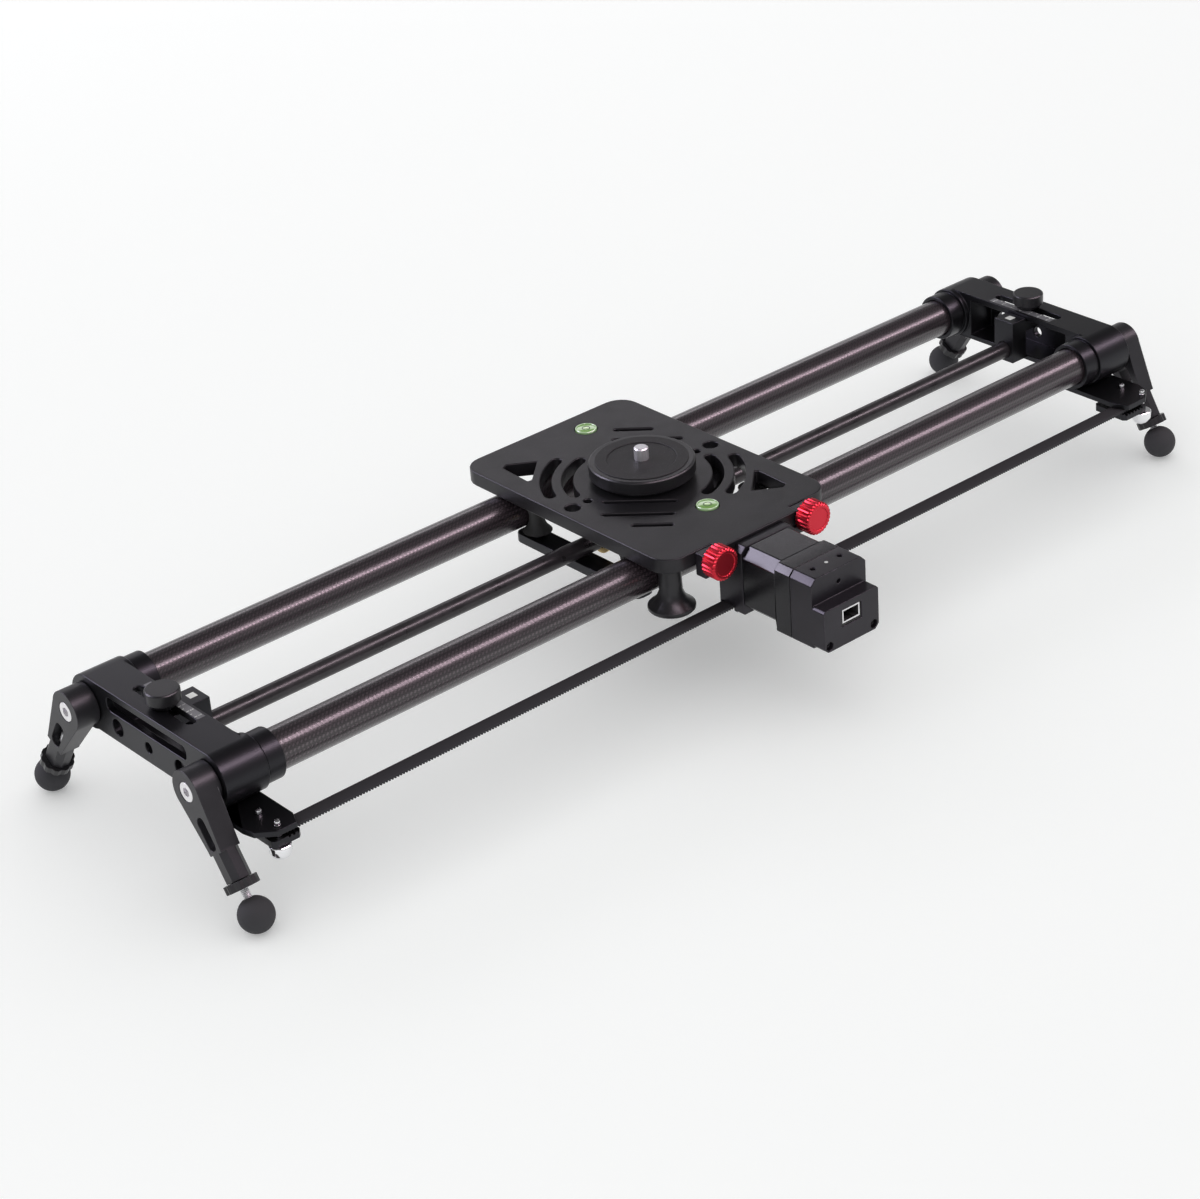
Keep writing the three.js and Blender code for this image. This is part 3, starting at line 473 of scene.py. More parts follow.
class SharedEffects:
    """Node groups that several finishes share, each made the first time it is asked for."""

    made: Dict[str, bpy.types.NodeTree] = {}
    strands: int = 5

    @classmethod
    def start(
        cls, name: str, inputs: Sequence[Tuple[str, str, float]], outputs: Sequence[str]
    ) -> Tuple:
        """Starts a group with its named sockets.

        Args:
            name: the group's name.
            inputs: name, type and default of each input.
            outputs: the names of the value outputs.

        Returns:
            The sheet, the input node and the output node.
        """
        tree = bpy.data.node_groups.new(name, "ShaderNodeTree")
        for label, kind, value in inputs:
            socket = tree.interface.new_socket(label, in_out="INPUT", socket_type="NodeSocket" + kind)
            if kind == "Float":
                socket.default_value = value
        for label in outputs:
            tree.interface.new_socket(label, in_out="OUTPUT", socket_type="NodeSocketFloat")
        cls.made[name] = tree
        sheet = Sheet(tree)
        return sheet, tree.nodes.new("NodeGroupInput"), tree.nodes.new("NodeGroupOutput")

    @classmethod
    def grain(cls) -> bpy.types.NodeTree:
        """Fine blasted grain with slow changes of tone across a part.

        Returns:
            The group, with outputs Height and Tone.
        """
        if "Blasted Grain" in cls.made:
            return cls.made["Blasted Grain"]
        sheet, given, out = cls.start(
            "Blasted Grain",
            [("Vector", "Vector", 0), ("Scale", "Float", 3000.0), ("Patch Scale", "Float", 30.0)],
            ["Height", "Tone"],
        )
        where, scale, patches = given.outputs[0], given.outputs[1], given.outputs[2]
        fine = sheet.add(
            "TexNoise", {"Vector": where, "Scale": scale, "Detail": 3.0, "Roughness": 0.65}
        )
        slow = sheet.add("TexNoise", {"Vector": where, "Scale": patches, "Detail": 4.0})
        sheet.tree.links.new(fine.outputs[0], out.inputs["Height"])
        sheet.tree.links.new(sheet.ramp(slow.outputs[0], 0.3, 0.7), out.inputs["Tone"])
        return sheet.tree

    @classmethod
    def edge_wear_and_highlight(cls) -> bpy.types.NodeTree:
        """Thin bright edges, partly wear where a sharp edge has been handled and partly a painted
        highlight along the edges.

        Returns:
            The group, with output Mask.
        """
        if "Edge Wear" in cls.made:
            return cls.made["Edge Wear"]
        sheet, given, out = cls.start(
            "Edge Wear",
            [("Vector", "Vector", 0), ("Radius", "Float", 0.0004), ("Amount", "Float", 0.5)],
            ["Mask"],
        )
        rounded = sheet.add("Bevel", {"Radius": given.outputs[1]}, samples=4)
        flat = sheet.add("NewGeometry")
        normals = {0: rounded.outputs[0], 1: flat.outputs["Normal"]}
        dot = sheet.add("VectorMath", normals, operation="DOT_PRODUCT")
        edge = sheet.ramp(sheet.math("SUBTRACT", 1.0, dot.outputs["Value"]), 0.015, 0.16)
        spots = sheet.add("TexNoise", {"Vector": given.outputs[0], "Scale": 260.0, "Detail": 4.0})
        broken = sheet.ramp(spots.outputs[0], 0.35, 0.62)
        # Painted highlight and wear: the edge mask, broken by noise, marks the edges to be brightened.
        rubbed_and_highlit = sheet.math("MULTIPLY", edge, broken)
        mask = sheet.math("MULTIPLY", rubbed_and_highlit, given.outputs[2], clamp=True)
        sheet.tree.links.new(mask, out.inputs["Mask"])
        return sheet.tree

    @classmethod
    def handling(cls) -> bpy.types.NodeTree:
        """Smudges and settled dust that change how glossy a surface is.

        Returns:
            The group, with outputs Smudge and Dust.
        """
        if "Handling" in cls.made:
            return cls.made["Handling"]
        sheet, given, out = cls.start(
            "Handling", [("Vector", "Vector", 0), ("Amount", "Float", 0.5)], ["Smudge", "Dust"]
        )
        smear = sheet.add(
            "TexNoise", {"Vector": given.outputs[0], "Scale": 55.0, "Detail": 5.0, "Distortion": 0.6}
        )
        smudge = sheet.math("MULTIPLY", sheet.ramp(smear.outputs[0], 0.45, 0.75), given.outputs[1])
        specks = sheet.add("TexVoronoi", {"Vector": given.outputs[0], "Scale": 700.0})
        near = sheet.math("LESS_THAN", specks.outputs["Distance"], 0.13)
        normal = sheet.add("NewGeometry")
        lift = sheet.add("SeparateXYZ", {0: normal.outputs["Normal"]})
        upward = sheet.ramp(lift.outputs["Z"], 0.3, 0.9)
        dust = sheet.math("MULTIPLY", sheet.math("MULTIPLY", near, upward), given.outputs[1])
        sheet.tree.links.new(smudge, out.inputs["Smudge"])
        sheet.tree.links.new(dust, out.inputs["Dust"])
        return sheet.tree

    @classmethod
    def weave(cls) -> bpy.types.NodeTree:
        """Woven carbon cloth, one thread over and one under, laid on the bias round a tube.

        Returns:
            The group, with outputs Tone, Height and Fibre.
        """
        if "Bias Weave" in cls.made:
            return cls.made["Bias Weave"]
        sheet, given, out = cls.start(
            "Bias Weave",
            [("Along", "Float", 0), ("Around", "Float", 0), ("Thread", "Float", 0.002)],
            ["Tone", "Height", "Fibre"],
        )
        along, around, thread = given.outputs[0], given.outputs[1], given.outputs[2]
        u = sheet.math("DIVIDE", sheet.math("ADD", along, around), thread)
        v = sheet.math("DIVIDE", sheet.math("SUBTRACT", along, around), thread)
        cell = sheet.math("ADD", sheet.math("FLOOR", u), sheet.math("FLOOR", v))
        odd = sheet.math("FLOORED_MODULO", cell, 2.0)
        over = sheet.math("LESS_THAN", odd, 0.5)
        crest_u = sheet.math("SINE", sheet.math("MULTIPLY", sheet.math("FRACT", u), math.pi))
        crest_v = sheet.math("SINE", sheet.math("MULTIPLY", sheet.math("FRACT", v), math.pi))
        warp = sheet.math("MULTIPLY", over, crest_u)
        weft = sheet.math("MULTIPLY", sheet.math("SUBTRACT", 1.0, over), crest_v)
        turns = 2 * math.pi * cls.strands
        strands_u = sheet.math("SINE", sheet.math("MULTIPLY", u, turns))
        strands_v = sheet.math("SINE", sheet.math("MULTIPLY", v, turns))
        fibre = sheet.math(
            "ADD",
            sheet.math("MULTIPLY", over, strands_u),
            sheet.math("MULTIPLY", sheet.math("SUBTRACT", 1.0, over), strands_v),
        )
        sheet.tree.links.new(over, out.inputs["Tone"])
        sheet.tree.links.new(sheet.math("ADD", warp, weft), out.inputs["Height"])
        sheet.tree.links.new(fibre, out.inputs["Fibre"])
        return sheet.tree

    @classmethod
    def rings(cls) -> bpy.types.NodeTree:
        """Fine tool marks round an axis, as a lathe leaves.

        Returns:
            The group, with output Height.
        """
        if "Turning Marks" in cls.made:
            return cls.made["Turning Marks"]
        sheet, given, out = cls.start(
            "Turning Marks", [("Vector", "Vector", 0), ("Pitch", "Float", 0.0004)], ["Height"]
        )
        axes = sheet.add("SeparateXYZ", {0: given.outputs[0]})
        radius = sheet.math(
            "SQRT",
            sheet.math(
                "ADD",
                sheet.math("MULTIPLY", axes.outputs[0], axes.outputs[0]),
                sheet.math("MULTIPLY", axes.outputs[1], axes.outputs[1]),
            ),
        )
        rings = sheet.math("DIVIDE", radius, given.outputs[1])
        wave = sheet.math("SINE", sheet.math("MULTIPLY", rings, 2 * math.pi))
        sheet.tree.links.new(wave, out.inputs["Height"])
        return sheet.tree


@dataclass(frozen=True)
class Finish:
    """A surface finish.  Its material is made once and shared by the pieces that carry it."""

    name: str
    colour: Colour
    roughness: float
    metallic: float = 0.0

    def material(self) -> bpy.types.Material:
        """Gives the finish's material, making it the first time.

        Returns:
            The material.
        """
        found = bpy.data.materials.get(self.name)
        if found is not None:
            return found
        made = bpy.data.materials.new(self.name)
        made.use_nodes = True
        made.node_tree.nodes.clear()
        sheet = Sheet(made.node_tree)
        shader = sheet.add(
            "BsdfPrincipled",
            {"Base Color": (*self.colour, 1), "Roughness": self.roughness, "Metallic": self.metallic},
        )
        out = sheet.add("OutputMaterial")
        made.node_tree.links.new(shader.outputs[0], out.inputs[0])
        made.diffuse_color = (*self.colour, 1)
        made.roughness = self.roughness
        made.metallic = self.metallic
        self.lay_out(sheet, shader, sheet.add("TexCoord").outputs["Object"])
        return made

    def shade(self, factor: float) -> Colour:
        """Gives the finish's colour, made lighter or darker by a factor."""
        return tuple(c * factor for c in self.colour)

    def lay_out(self, sheet: Sheet, shader: bpy.types.Node, where: bpy.types.NodeSocket) -> None:
        """Adds the finish's own nodes; a plain finish has none."""

    def bump(
        self, sheet: Sheet, shader: bpy.types.Node, height: bpy.types.NodeSocket, depth: float
    ) -> None:
        """Joins a height to the shader's normal.

        Args:
            sheet: the node tree.
            shader: the surface shader.
            height: the height, about 0 to 1.
            depth: the depth of the relief in metres.
        """
        node = sheet.add("Bump", {"Height": height, "Strength": 1.0, "Distance": depth})
        sheet.tree.links.new(node.outputs[0], shader.inputs["Normal"])


@dataclass(frozen=True)
class Anodised(Finish):
    """Blasted and anodised aluminium with handled edges, brightened partly by wear and partly by a
    painted highlight.
    """

    grain: float = 2600.0
    depth: float = 0.012 * MM
    # Edge amount and bright edge colour: wear together with a painted highlight along the edges.
    wear_and_highlight: float = 0.35
    bright: Colour = (0.42, 0.40, 0.44)
    handled: float = 0.35
    dusted: float = 0.35
    dust: Colour = (0.3, 0.3, 0.3)
    smudged: float = 0.12

    def lay_out(self, sheet: Sheet, shader: bpy.types.Node, where: bpy.types.NodeSocket) -> None:
        """Adds grain, changing tone, edge wear with a painted highlight, smudges and dust."""
        group = sheet.effect(SharedEffects.grain(), where, Scale=self.grain)
        wear_and_highlight = sheet.effect(SharedEffects.edge_wear_and_highlight(), where, Amount=self.wear_and_highlight)
        marks = sheet.effect(SharedEffects.handling(), where, Amount=self.handled)
        tone = sheet.blend(group.outputs["Tone"], self.shade(0.8), self.shade(1.25))
        # The edges blend to the bright colour: worn metal and a painted highlight.
        worn_and_highlit = sheet.blend(wear_and_highlight.outputs["Mask"], tone, self.bright)
        settled = sheet.math("MULTIPLY", marks.outputs["Dust"], self.dusted)
        sheet.tree.links.new(sheet.blend(settled, worn_and_highlit, self.dust), shader.inputs["Base Color"])
        rough = sheet.scaled(marks.outputs["Smudge"], self.smudged, self.roughness - 0.02)
        sheet.tree.links.new(
            sheet.math("ADD", rough, sheet.math("MULTIPLY", group.outputs["Height"], 0.05)),
            shader.inputs["Roughness"],
        )
        self.bump(sheet, shader, group.outputs["Height"], self.depth)


@dataclass(frozen=True)
class CarbonCloth(Finish):
    """Carbon cloth under a clear coat, wrapped round a tube along X; the weave is the cloth's pattern,
    its lighter threads a painted sheen.
    """

    axis_y: float = 0.0
    axis_z: float = 0.0
    thread: float = 2.8 * MM
    round_count: int = 28
    # Lighter pinkish colour of the raised threads: a painted sheen, not a colour of the cloth.
    light: Colour = (0.088, 0.066, 0.077)
    coat: float = 0.8
    coat_roughness: float = 0.30
    strand_share: float = 0.06
    thread_gloss: float = 0.18
    relief: float = 0.006 * MM

    def lay_out(self, sheet: Sheet, shader: bpy.types.Node, where: bpy.types.NodeSocket) -> None:
        """Adds the weave by the distance along and round the tube, lightening the threads' crests as a
        painted sheen.
        """
        axes = sheet.add("SeparateXYZ", {0: where})
        y = sheet.math("SUBTRACT", axes.outputs[1], self.axis_y)
        z = sheet.math("SUBTRACT", axes.outputs[2], self.axis_z)
        turn = sheet.math("ARCTAN2", z, y)
        around = sheet.math("MULTIPLY", turn, self.round_count * self.thread / (2 * math.pi))
        weave = sheet.add("Group", node_tree=SharedEffects.weave())
        sheet.tree.links.new(axes.outputs[0], weave.inputs["Along"])
        sheet.tree.links.new(around, weave.inputs["Around"])
        weave.inputs["Thread"].default_value = self.thread
        # Painted sheen: the thread crests, most of all the over threads, are blended towards the
        # lighter colour.
        lit = sheet.ramp(weave.outputs["Tone"], -0.3, 1.0)
        share = sheet.math("MULTIPLY", weave.outputs["Height"], lit)
        strands = sheet.math("MULTIPLY", weave.outputs["Fibre"], self.strand_share)
        sheet.tree.links.new(
            sheet.blend(sheet.math("ADD", share, strands, clamp=True), self.colour, self.light),
            shader.inputs["Base Color"],
        )
        rough = sheet.scaled(weave.outputs["Tone"], -self.thread_gloss, self.roughness)
        sheet.tree.links.new(rough, shader.inputs["Roughness"])
        shader.inputs["Coat Weight"].default_value = self.coat
        shader.inputs["Coat Roughness"].default_value = self.coat_roughness
        self.bump(sheet, shader, weave.outputs["Height"], self.relief)


@dataclass(frozen=True)
class Moulded(Finish):
    """Moulded rubber or plastic with a fine skin and a little dust."""

    grain: float = 1500.0
    depth: float = 0.03 * MM
    patch: float = 90.0
    dusted: float = 0.5
    dust: Colour = (0.25, 0.25, 0.25)
    smudged: float = 0.12

    def lay_out(self, sheet: Sheet, shader: bpy.types.Node, where: bpy.types.NodeSocket) -> None:
        """Adds the skin, changing tone and dust."""
        group = sheet.effect(SharedEffects.grain(), where, Scale=self.grain, Patch_Scale=self.patch)
        marks = sheet.effect(SharedEffects.handling(), where)
        tone = sheet.blend(group.outputs["Tone"], self.shade(0.75), self.shade(1.3))
        settled = sheet.math("MULTIPLY", marks.outputs["Dust"], self.dusted)
        sheet.tree.links.new(sheet.blend(settled, tone, self.dust), shader.inputs["Base Color"])
        rough = sheet.scaled(group.outputs["Tone"], self.smudged, self.roughness - 0.06)
        sheet.tree.links.new(rough, shader.inputs["Roughness"])
        self.bump(sheet, shader, group.outputs["Height"], self.depth)


@dataclass(frozen=True)
class Turned(Finish):
    """Bright turned metal with fine tool marks round the slider's own upright axis."""

    pitch: float = 0.5 * MM
    relief: float = 0.006 * MM
    patch: float = 120.0
    smudged: float = 0.2

    def lay_out(self, sheet: Sheet, shader: bpy.types.Node, where: bpy.types.NodeSocket) -> None:
        """Adds the tool marks, grain and smudges."""
        marks = sheet.effect(SharedEffects.rings(), where, Pitch=self.pitch)
        handled = sheet.effect(SharedEffects.handling(), where)
        tone = sheet.effect(SharedEffects.grain(), where, Patch_Scale=self.patch)
        metal = sheet.blend(tone.outputs["Tone"], self.shade(0.88), self.colour)
        rough = sheet.scaled(handled.outputs["Smudge"], self.smudged, self.roughness)
        sheet.tree.links.new(metal, shader.inputs["Base Color"])
        sheet.tree.links.new(rough, shader.inputs["Roughness"])
        height = sheet.math("ADD", marks.outputs["Height"], tone.outputs["Height"])
        self.bump(sheet, shader, height, self.relief)


@dataclass(frozen=True)
class ToothedBelt(Finish):
    """Ribbed belt rubber with a fabric back."""

    cord_pitch: float = 0.7 * MM
    cloth_pitch: float = 0.9 * MM
    relief: float = 0.03 * MM

    def lay_out(self, sheet: Sheet, shader: bpy.types.Node, where: bpy.types.NodeSocket) -> None:
        """Adds the cords along the belt and the fabric across it."""
        axes = sheet.add("SeparateXYZ", {0: where})
        round_cord, round_cloth = 2 * math.pi / self.cord_pitch, 2 * math.pi / self.cloth_pitch
        cords = sheet.math("SINE", sheet.math("MULTIPLY", axes.outputs[1], round_cord))
        cloth = sheet.math("SINE", sheet.math("MULTIPLY", axes.outputs[0], round_cloth))
        both = sheet.math("MULTIPLY", sheet.math("ADD", cords, cloth), 0.5)
        group = sheet.effect(SharedEffects.grain(), where)
        rubber = sheet.blend(group.outputs["Tone"], self.colour, self.shade(1.7))
        sheet.tree.links.new(rubber, shader.inputs["Base Color"])
        shader.inputs["Specular IOR Level"].default_value = 0.2
        self.bump(sheet, shader, both, self.relief)


@dataclass(frozen=True)
class LevelLiquid(Finish):
    """Pale green level liquid under a clear top, with a painted glow."""

    # Strength of the painted glow: an emission, though the level is no lamp.
    glow: float = 0.18
    ripple: float = 0.01 * MM

    def lay_out(self, sheet: Sheet, shader: bpy.types.Node, where: bpy.types.NodeSocket) -> None:
        """Adds a slight change of tone and a painted glow, an emission standing in for light caught
        inside.
        """
        noise = sheet.add("TexNoise", {"Vector": where, "Scale": 300.0, "Detail": 2.0})
        tone = sheet.blend(noise.outputs[0], self.shade(0.9), self.colour)
        sheet.tree.links.new(tone, shader.inputs["Base Color"])
        sheet.tree.links.new(tone, shader.inputs["Emission Color"])
        # Painted glow: the liquid emits its own colour.
        shader.inputs["Emission Strength"].default_value = self.glow
        shader.inputs["Coat Weight"].default_value = 1.0
        shader.inputs["Coat Roughness"].default_value = 0.05
        self.bump(sheet, shader, noise.outputs[0], self.ripple)


@dataclass(frozen=True)
class StudioPaint(Finish):
    """Matt paper for the studio floor, lit a little from below."""

    glow: float = 0.25

    def lay_out(self, sheet: Sheet, shader: bpy.types.Node, where: bpy.types.NodeSocket) -> None:
        """Adds a faint tooth to the paper."""
        noise = sheet.add("TexNoise", {"Vector": where, "Scale": 40.0, "Detail": 4.0})
        sheet.tree.links.new(
            sheet.blend(noise.outputs[0], self.shade(0.992), self.colour),
            shader.inputs["Base Color"],
        )
        shader.inputs["Specular IOR Level"].default_value = 0.1
        shader.inputs["Emission Color"].default_value = (*self.colour, 1)
        shader.inputs["Emission Strength"].default_value = self.glow


# In the anodised finishes, the edge amount and the bright colour paint a highlight along the edges as
# well as wear.
BLACK = Anodised("black_anodised", (0.016, 0.0145, 0.018), 0.36, 0.45)
BLACK_TOP = Anodised("black_anodised_plate", (0.017, 0.016, 0.019), 0.38, 0.4, grain=2200.0, wear_and_highlight=0.6)
SATIN_BLACK = Anodised("satin_black_knob", (0.018, 0.0175, 0.02), 0.34, 0.3, wear_and_highlight=0.2)
# The motor housing's strong lavender edges are mostly a painted highlight on its chamfers, with some
# wear.
MOTOR_BLACK = Anodised(
    "motor_housing_black",
    (0.020, 0.0175, 0.023),
    0.32,
    0.45,
    grain=3200.0,
    wear_and_highlight=0.8,
    bright=(0.5, 0.44, 0.55),
)
MOTOR_CAN = Anodised("motor_can_black", (0.010, 0.0095, 0.012), 0.22, 0.3, grain=3600.0, wear_and_highlight=0.2)
LEG_BLACK = Anodised("leg_black", (0.026, 0.025, 0.029), 0.38, 0.4, wear_and_highlight=0.4)
# The red knobs' pink edges are a painted highlight, with some wear.
RED = Anodised(
    "red_anodised",
    (0.62, 0.012, 0.024),
    0.27,
    0.55,
    grain=3600.0,
    depth=0.006 * MM,
    wear_and_highlight=0.5,
    bright=(0.95, 0.45, 0.42),
)
ROD = Moulded("rod_satin", (0.026, 0.022, 0.025), 0.32, grain=1800.0, depth=0.002 * MM)
BALL = Moulded("ball_rubber", (0.026, 0.026, 0.030), 0.46)
RUBBER = Moulded("pad_rubber", (0.015, 0.015, 0.016), 0.62, grain=2600.0)
BELT = ToothedBelt("belt_rubber", (0.012, 0.012, 0.013), 0.6)
PLASTIC = Moulded("black_plastic", (0.012, 0.012, 0.013), 0.42, depth=0.015 * MM)
STEEL = Turned("bright_steel", (0.66, 0.65, 0.66), 0.24, 1.0)
RING_STEEL = Turned("bolt_ring_steel", (0.86, 0.85, 0.86), 0.3, 0.85)
CHROME = Turned("chrome_nut", (0.82, 0.82, 0.83), 0.07, 1.0, pitch=2.0 * MM)
SILVER = Turned("pulley_aluminium", (0.72, 0.72, 0.74), 0.3, 1.0)
BRASS = Turned("follower_brass", (0.62, 0.45, 0.2), 0.3, 1.0)
GOLD = Turned("contact_gold", (0.85, 0.62, 0.25), 0.2, 1.0, pitch=1.0 * MM)
PRINT = Moulded("scale_print", (0.72, 0.72, 0.70), 0.5, depth=0.005 * MM)
GREY_PRINT = Moulded("scale_band", (0.16, 0.155, 0.17), 0.5, depth=0.005 * MM)
# The level's rim, liquid and bubble each carry a painted glow, an emission in their own colour.
LIQUID = LevelLiquid("level_liquid", (0.20, 0.40, 0.085), 0.16, glow=0.05)
LIQUID_RIM = LevelLiquid("level_rim", (0.40, 0.62, 0.30), 0.3, glow=0.03)
BUBBLE = LevelLiquid("level_bubble", (0.52, 0.68, 0.36), 0.1, glow=0.06)
DARK_RING = Moulded("level_target", (0.03, 0.06, 0.02), 0.4, depth=0.004 * MM)
PAPER = StudioPaint("studio_paper", (0.86, 0.868, 0.862), 0.9)

SLOT_FINISH: Dict[str, Finish] = {
    "carbon": ROD,
    "dark_rod": ROD,
    "black_anodised": BLACK,
    "belt_rubber": BELT,
    "ball_rubber": BALL,
    "bright_steel": STEEL,
    "chrome_nut": CHROME,
    "red_anodised": RED,
    "level_acrylic": LIQUID,
    "black_plastic": PLASTIC,
    "silver_anodised": SILVER,
    "brass": BRASS,
}

NODE_FINISH: Dict[str, Finish] = {
    "carriage_plate": BLACK_TOP,
    "offset_knob": SATIN_BLACK,
    "lock_knob": SATIN_BLACK,
    "turntable": SATIN_BLACK,
    "lock_nut": SATIN_BLACK,
    "motor_body": MOTOR_CAN,
    "motor_": MOTOR_BLACK,
    "end_cover": MOTOR_BLACK,
    "data_jack": PLASTIC,
    "leg_bolt": RING_STEEL,
    "leg_": LEG_BLACK,
}


# ---------------------------------------------------------------------------------------------
# Sub-assemblies
# ---------------------------------------------------------------------------------------------


@dataclass
class FrameParts:
    """Frame nodes that keep their shape: they get rounded edges and a finish."""

    record: Dict
    nodes: Dict[str, bpy.types.Object]
    edge: float = 0.35 * MM
    fine_edge: float = 0.18 * MM
    broad_edge: float = 0.55 * MM
    plate_edge: float = 0.85 * MM
    weld_reach: float = 0.005 * MM
    small_part: float = 30 * MM
    flat_within: float = math.radians(1.0)
    sharp_from: float = math.radians(31)
    broad: Tuple[str, ...] = ("carriage_plate", "end_bracket", "end_cover", "motor_")

    def finish_of(self, node: str, slot: str) -> Finish:
        """Picks a node's finish.

        Args:
            node: the node's name.
            slot: its material slot in the record.

        Returns:
            The finish.
        """
        for start, finish in NODE_FINISH.items():
            if node.startswith(start):
                return finish
        return SLOT_FINISH[slot]

    def dress(self) -> None:
        """Rounds the edges of every node still shown and gives it its finish."""
        for part in self.record["subparts"]:
            node = part["node"]
            obj = self.nodes[node]
            if obj.hide_render:
                continue
            obj.data.materials.clear()
            obj.data.materials.append(self.finish_of(node, part["material_slot"]).material())
            for face in obj.data.polygons:
                face.use_smooth = True
                face.material_index = 0
            weld = obj.modifiers.new("weld", "WELD")
            weld.merge_threshold = self.weld_reach
            plane = obj.modifiers.new("planes", "DECIMATE")
            plane.decimate_type = "DISSOLVE"
            plane.angle_limit = self.flat_within
            small = max(obj.dimensions) < self.small_part
            bevel = obj.modifiers.new("edges", "BEVEL")
            bevel.width = self.fine_edge if small else self.edge
            if node.startswith(self.broad):
                bevel.width = self.broad_edge
            if node == "carriage_plate":
                bevel.width = self.plate_edge
            bevel.segments = 2
            bevel.limit_method = "ANGLE"
            bevel.angle_limit = self.sharp_from
            bevel.use_clamp_overlap = False
            bevel.harden_normals = True
            even = obj.modifiers.new("even", "WEIGHTED_NORMAL")
            even.keep_sharp = False
            LOG.info("frame part %s finished", node)


@dataclass
class Rails:
    """The two carbon rails and the guide rod between them."""

    radius: float = 12.5 * MM
    wall: float = 1.8 * MM
    lip: float = 0.3 * MM
    bore: float = 15 * MM
    rod_chamfer: float = 0.6 * MM
    sides: int = 96

    def tube(self, node: str) -> None:
        """Models one rail with its bore showing at both ends.

        Args:
            node: the frame node it stands for.
        """
        low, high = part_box(node)
        half = (high.x - low.x) / 2
        inner = self.radius - self.wall
        rings = [
            (inner, -half + self.bore),
            (inner, -half + self.lip),
            (inner + self.lip, -half),
            (self.radius - self.lip, -half),
            (self.radius, -half + self.lip),
            (self.radius, half - self.lip),
            (self.radius - self.lip, half),
            (inner + self.lip, half),
            (inner, half - self.lip),
            (inner, half - self.bore),
        ]
        centre = middle(node)
        side = node.rsplit("_", 1)[1]
        obj = Bench.turned("rail_" + side, rings, place(centre, Along.X), self.sides)
        Bench.smooth(obj)
        weave = CarbonCloth(
            "carbon_cloth_" + side,
            (0.010, 0.006, 0.008),
            0.36,
            0.35,
            axis_y=centre.y,
            axis_z=centre.z,
        )
        fit_out(obj, "frame", weave, [node])

    def rod(self) -> None:
        """Models the guide rod with chamfered ends."""
        low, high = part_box("guide_rod")
        half, radius = (high.x - low.x) / 2, (high.z - low.z) / 2
        cut = self.rod_chamfer
        rings = [(radius - cut, -half), (radius, -half + cut), (radius, half - cut)]
        rings.append((radius - cut, half))
        obj = Bench.turned("guide_rod_smooth", rings, place(middle("guide_rod"), Along.X), 64)
        Bench.smooth(obj)
        fit_out(obj, "rod", ROD, ["guide_rod"])

    def build(self) -> None:
        """Models both rails and the rod."""
        self.tube("carbon_tube_front")
        self.tube("carbon_tube_back")
        self.rod()


@dataclass
class BracketDress:
    """Printed scale and pointer of one end bracket."""

    end: End
    figure: float = 3.1 * MM
    band: float = 5.2 * MM
    reach: int = 3
    step: float = 8.0 * MM
    inset: float = 20.6 * MM
    margin: float = 3.2 * MM
    mark: float = 0.5 * MM
    long_mark: float = 1.9 * MM
    short_mark: float = 1.1 * MM
    pointer_half: float = 2.6 * MM
    pointer_inset: float = 6.4 * MM

    def scale(self) -> None:
        """Lays the numbered scale beside the carrier's slot."""
        low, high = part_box("end_bracket_" + self.end.word)
        top = high.z
        outer = high.x if self.end is End.RIGHT else low.x
        x = outer - self.end.value * self.inset
        y = (low.y + high.y) / 2
        half = self.reach * self.step + self.margin
        band = Bench.block(
            "scale_band_" + self.end.word,
            (x - self.band / 2, y - half, top + 0.01 * MM),
            (x + self.band / 2, y + half, top + 0.06 * MM),
            0.02 * MM,
        )
        fit_out(band, "frame", GREY_PRINT)
        marks: List[bpy.types.Object] = []
        for index in range(-2 * self.reach, 2 * self.reach + 1):
            long = index % 2 == 0
            length = self.long_mark if long else self.short_mark
            edge = x + self.end.value * self.band / 2
            a, b = sorted((edge, edge - self.end.value * length))
            at = y + index * self.step / 2
            near = (a, at - self.mark / 2, top + 0.05 * MM)
            far = (b, at + self.mark / 2, top + 0.1 * MM)
            marks.append(Bench.block("mark", near, far, 0.01 * MM))
            if long:
                turn = Matrix.Rotation(math.radians(90 * self.end.value), 4, "Z")
                where = Matrix.Translation((x - self.end.value * 1.0 * MM, at, top + 0.075 * MM)) @ turn
                marks.append(Bench.lettered("figure", str(abs(index) // 2), self.figure, where))
        printed = Bench.joined("scale_marks_" + self.end.word, marks)
        fit_out(printed, "frame", PRINT)

    def pointer(self) -> None:
        """Sets the white pointer square on top of the rod carrier."""
        low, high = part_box("rod_carrier_" + self.end.word)
        inner = low.x if self.end is End.RIGHT else high.x
        x, y = inner + self.end.value * self.pointer_inset, (low.y + high.y) / 2
        size = self.pointer_half
        square = Bench.block(
            "pointer_" + self.end.word,
            (x - size, y - size, high.z + 0.01 * MM),
            (x + size, y + size, high.z + 0.12 * MM),
            0.04 * MM,
        )
        fit_out(square, "rod", PRINT)

    def build(self) -> None:
        """Models everything on this bracket."""
        self.scale()
        self.pointer()


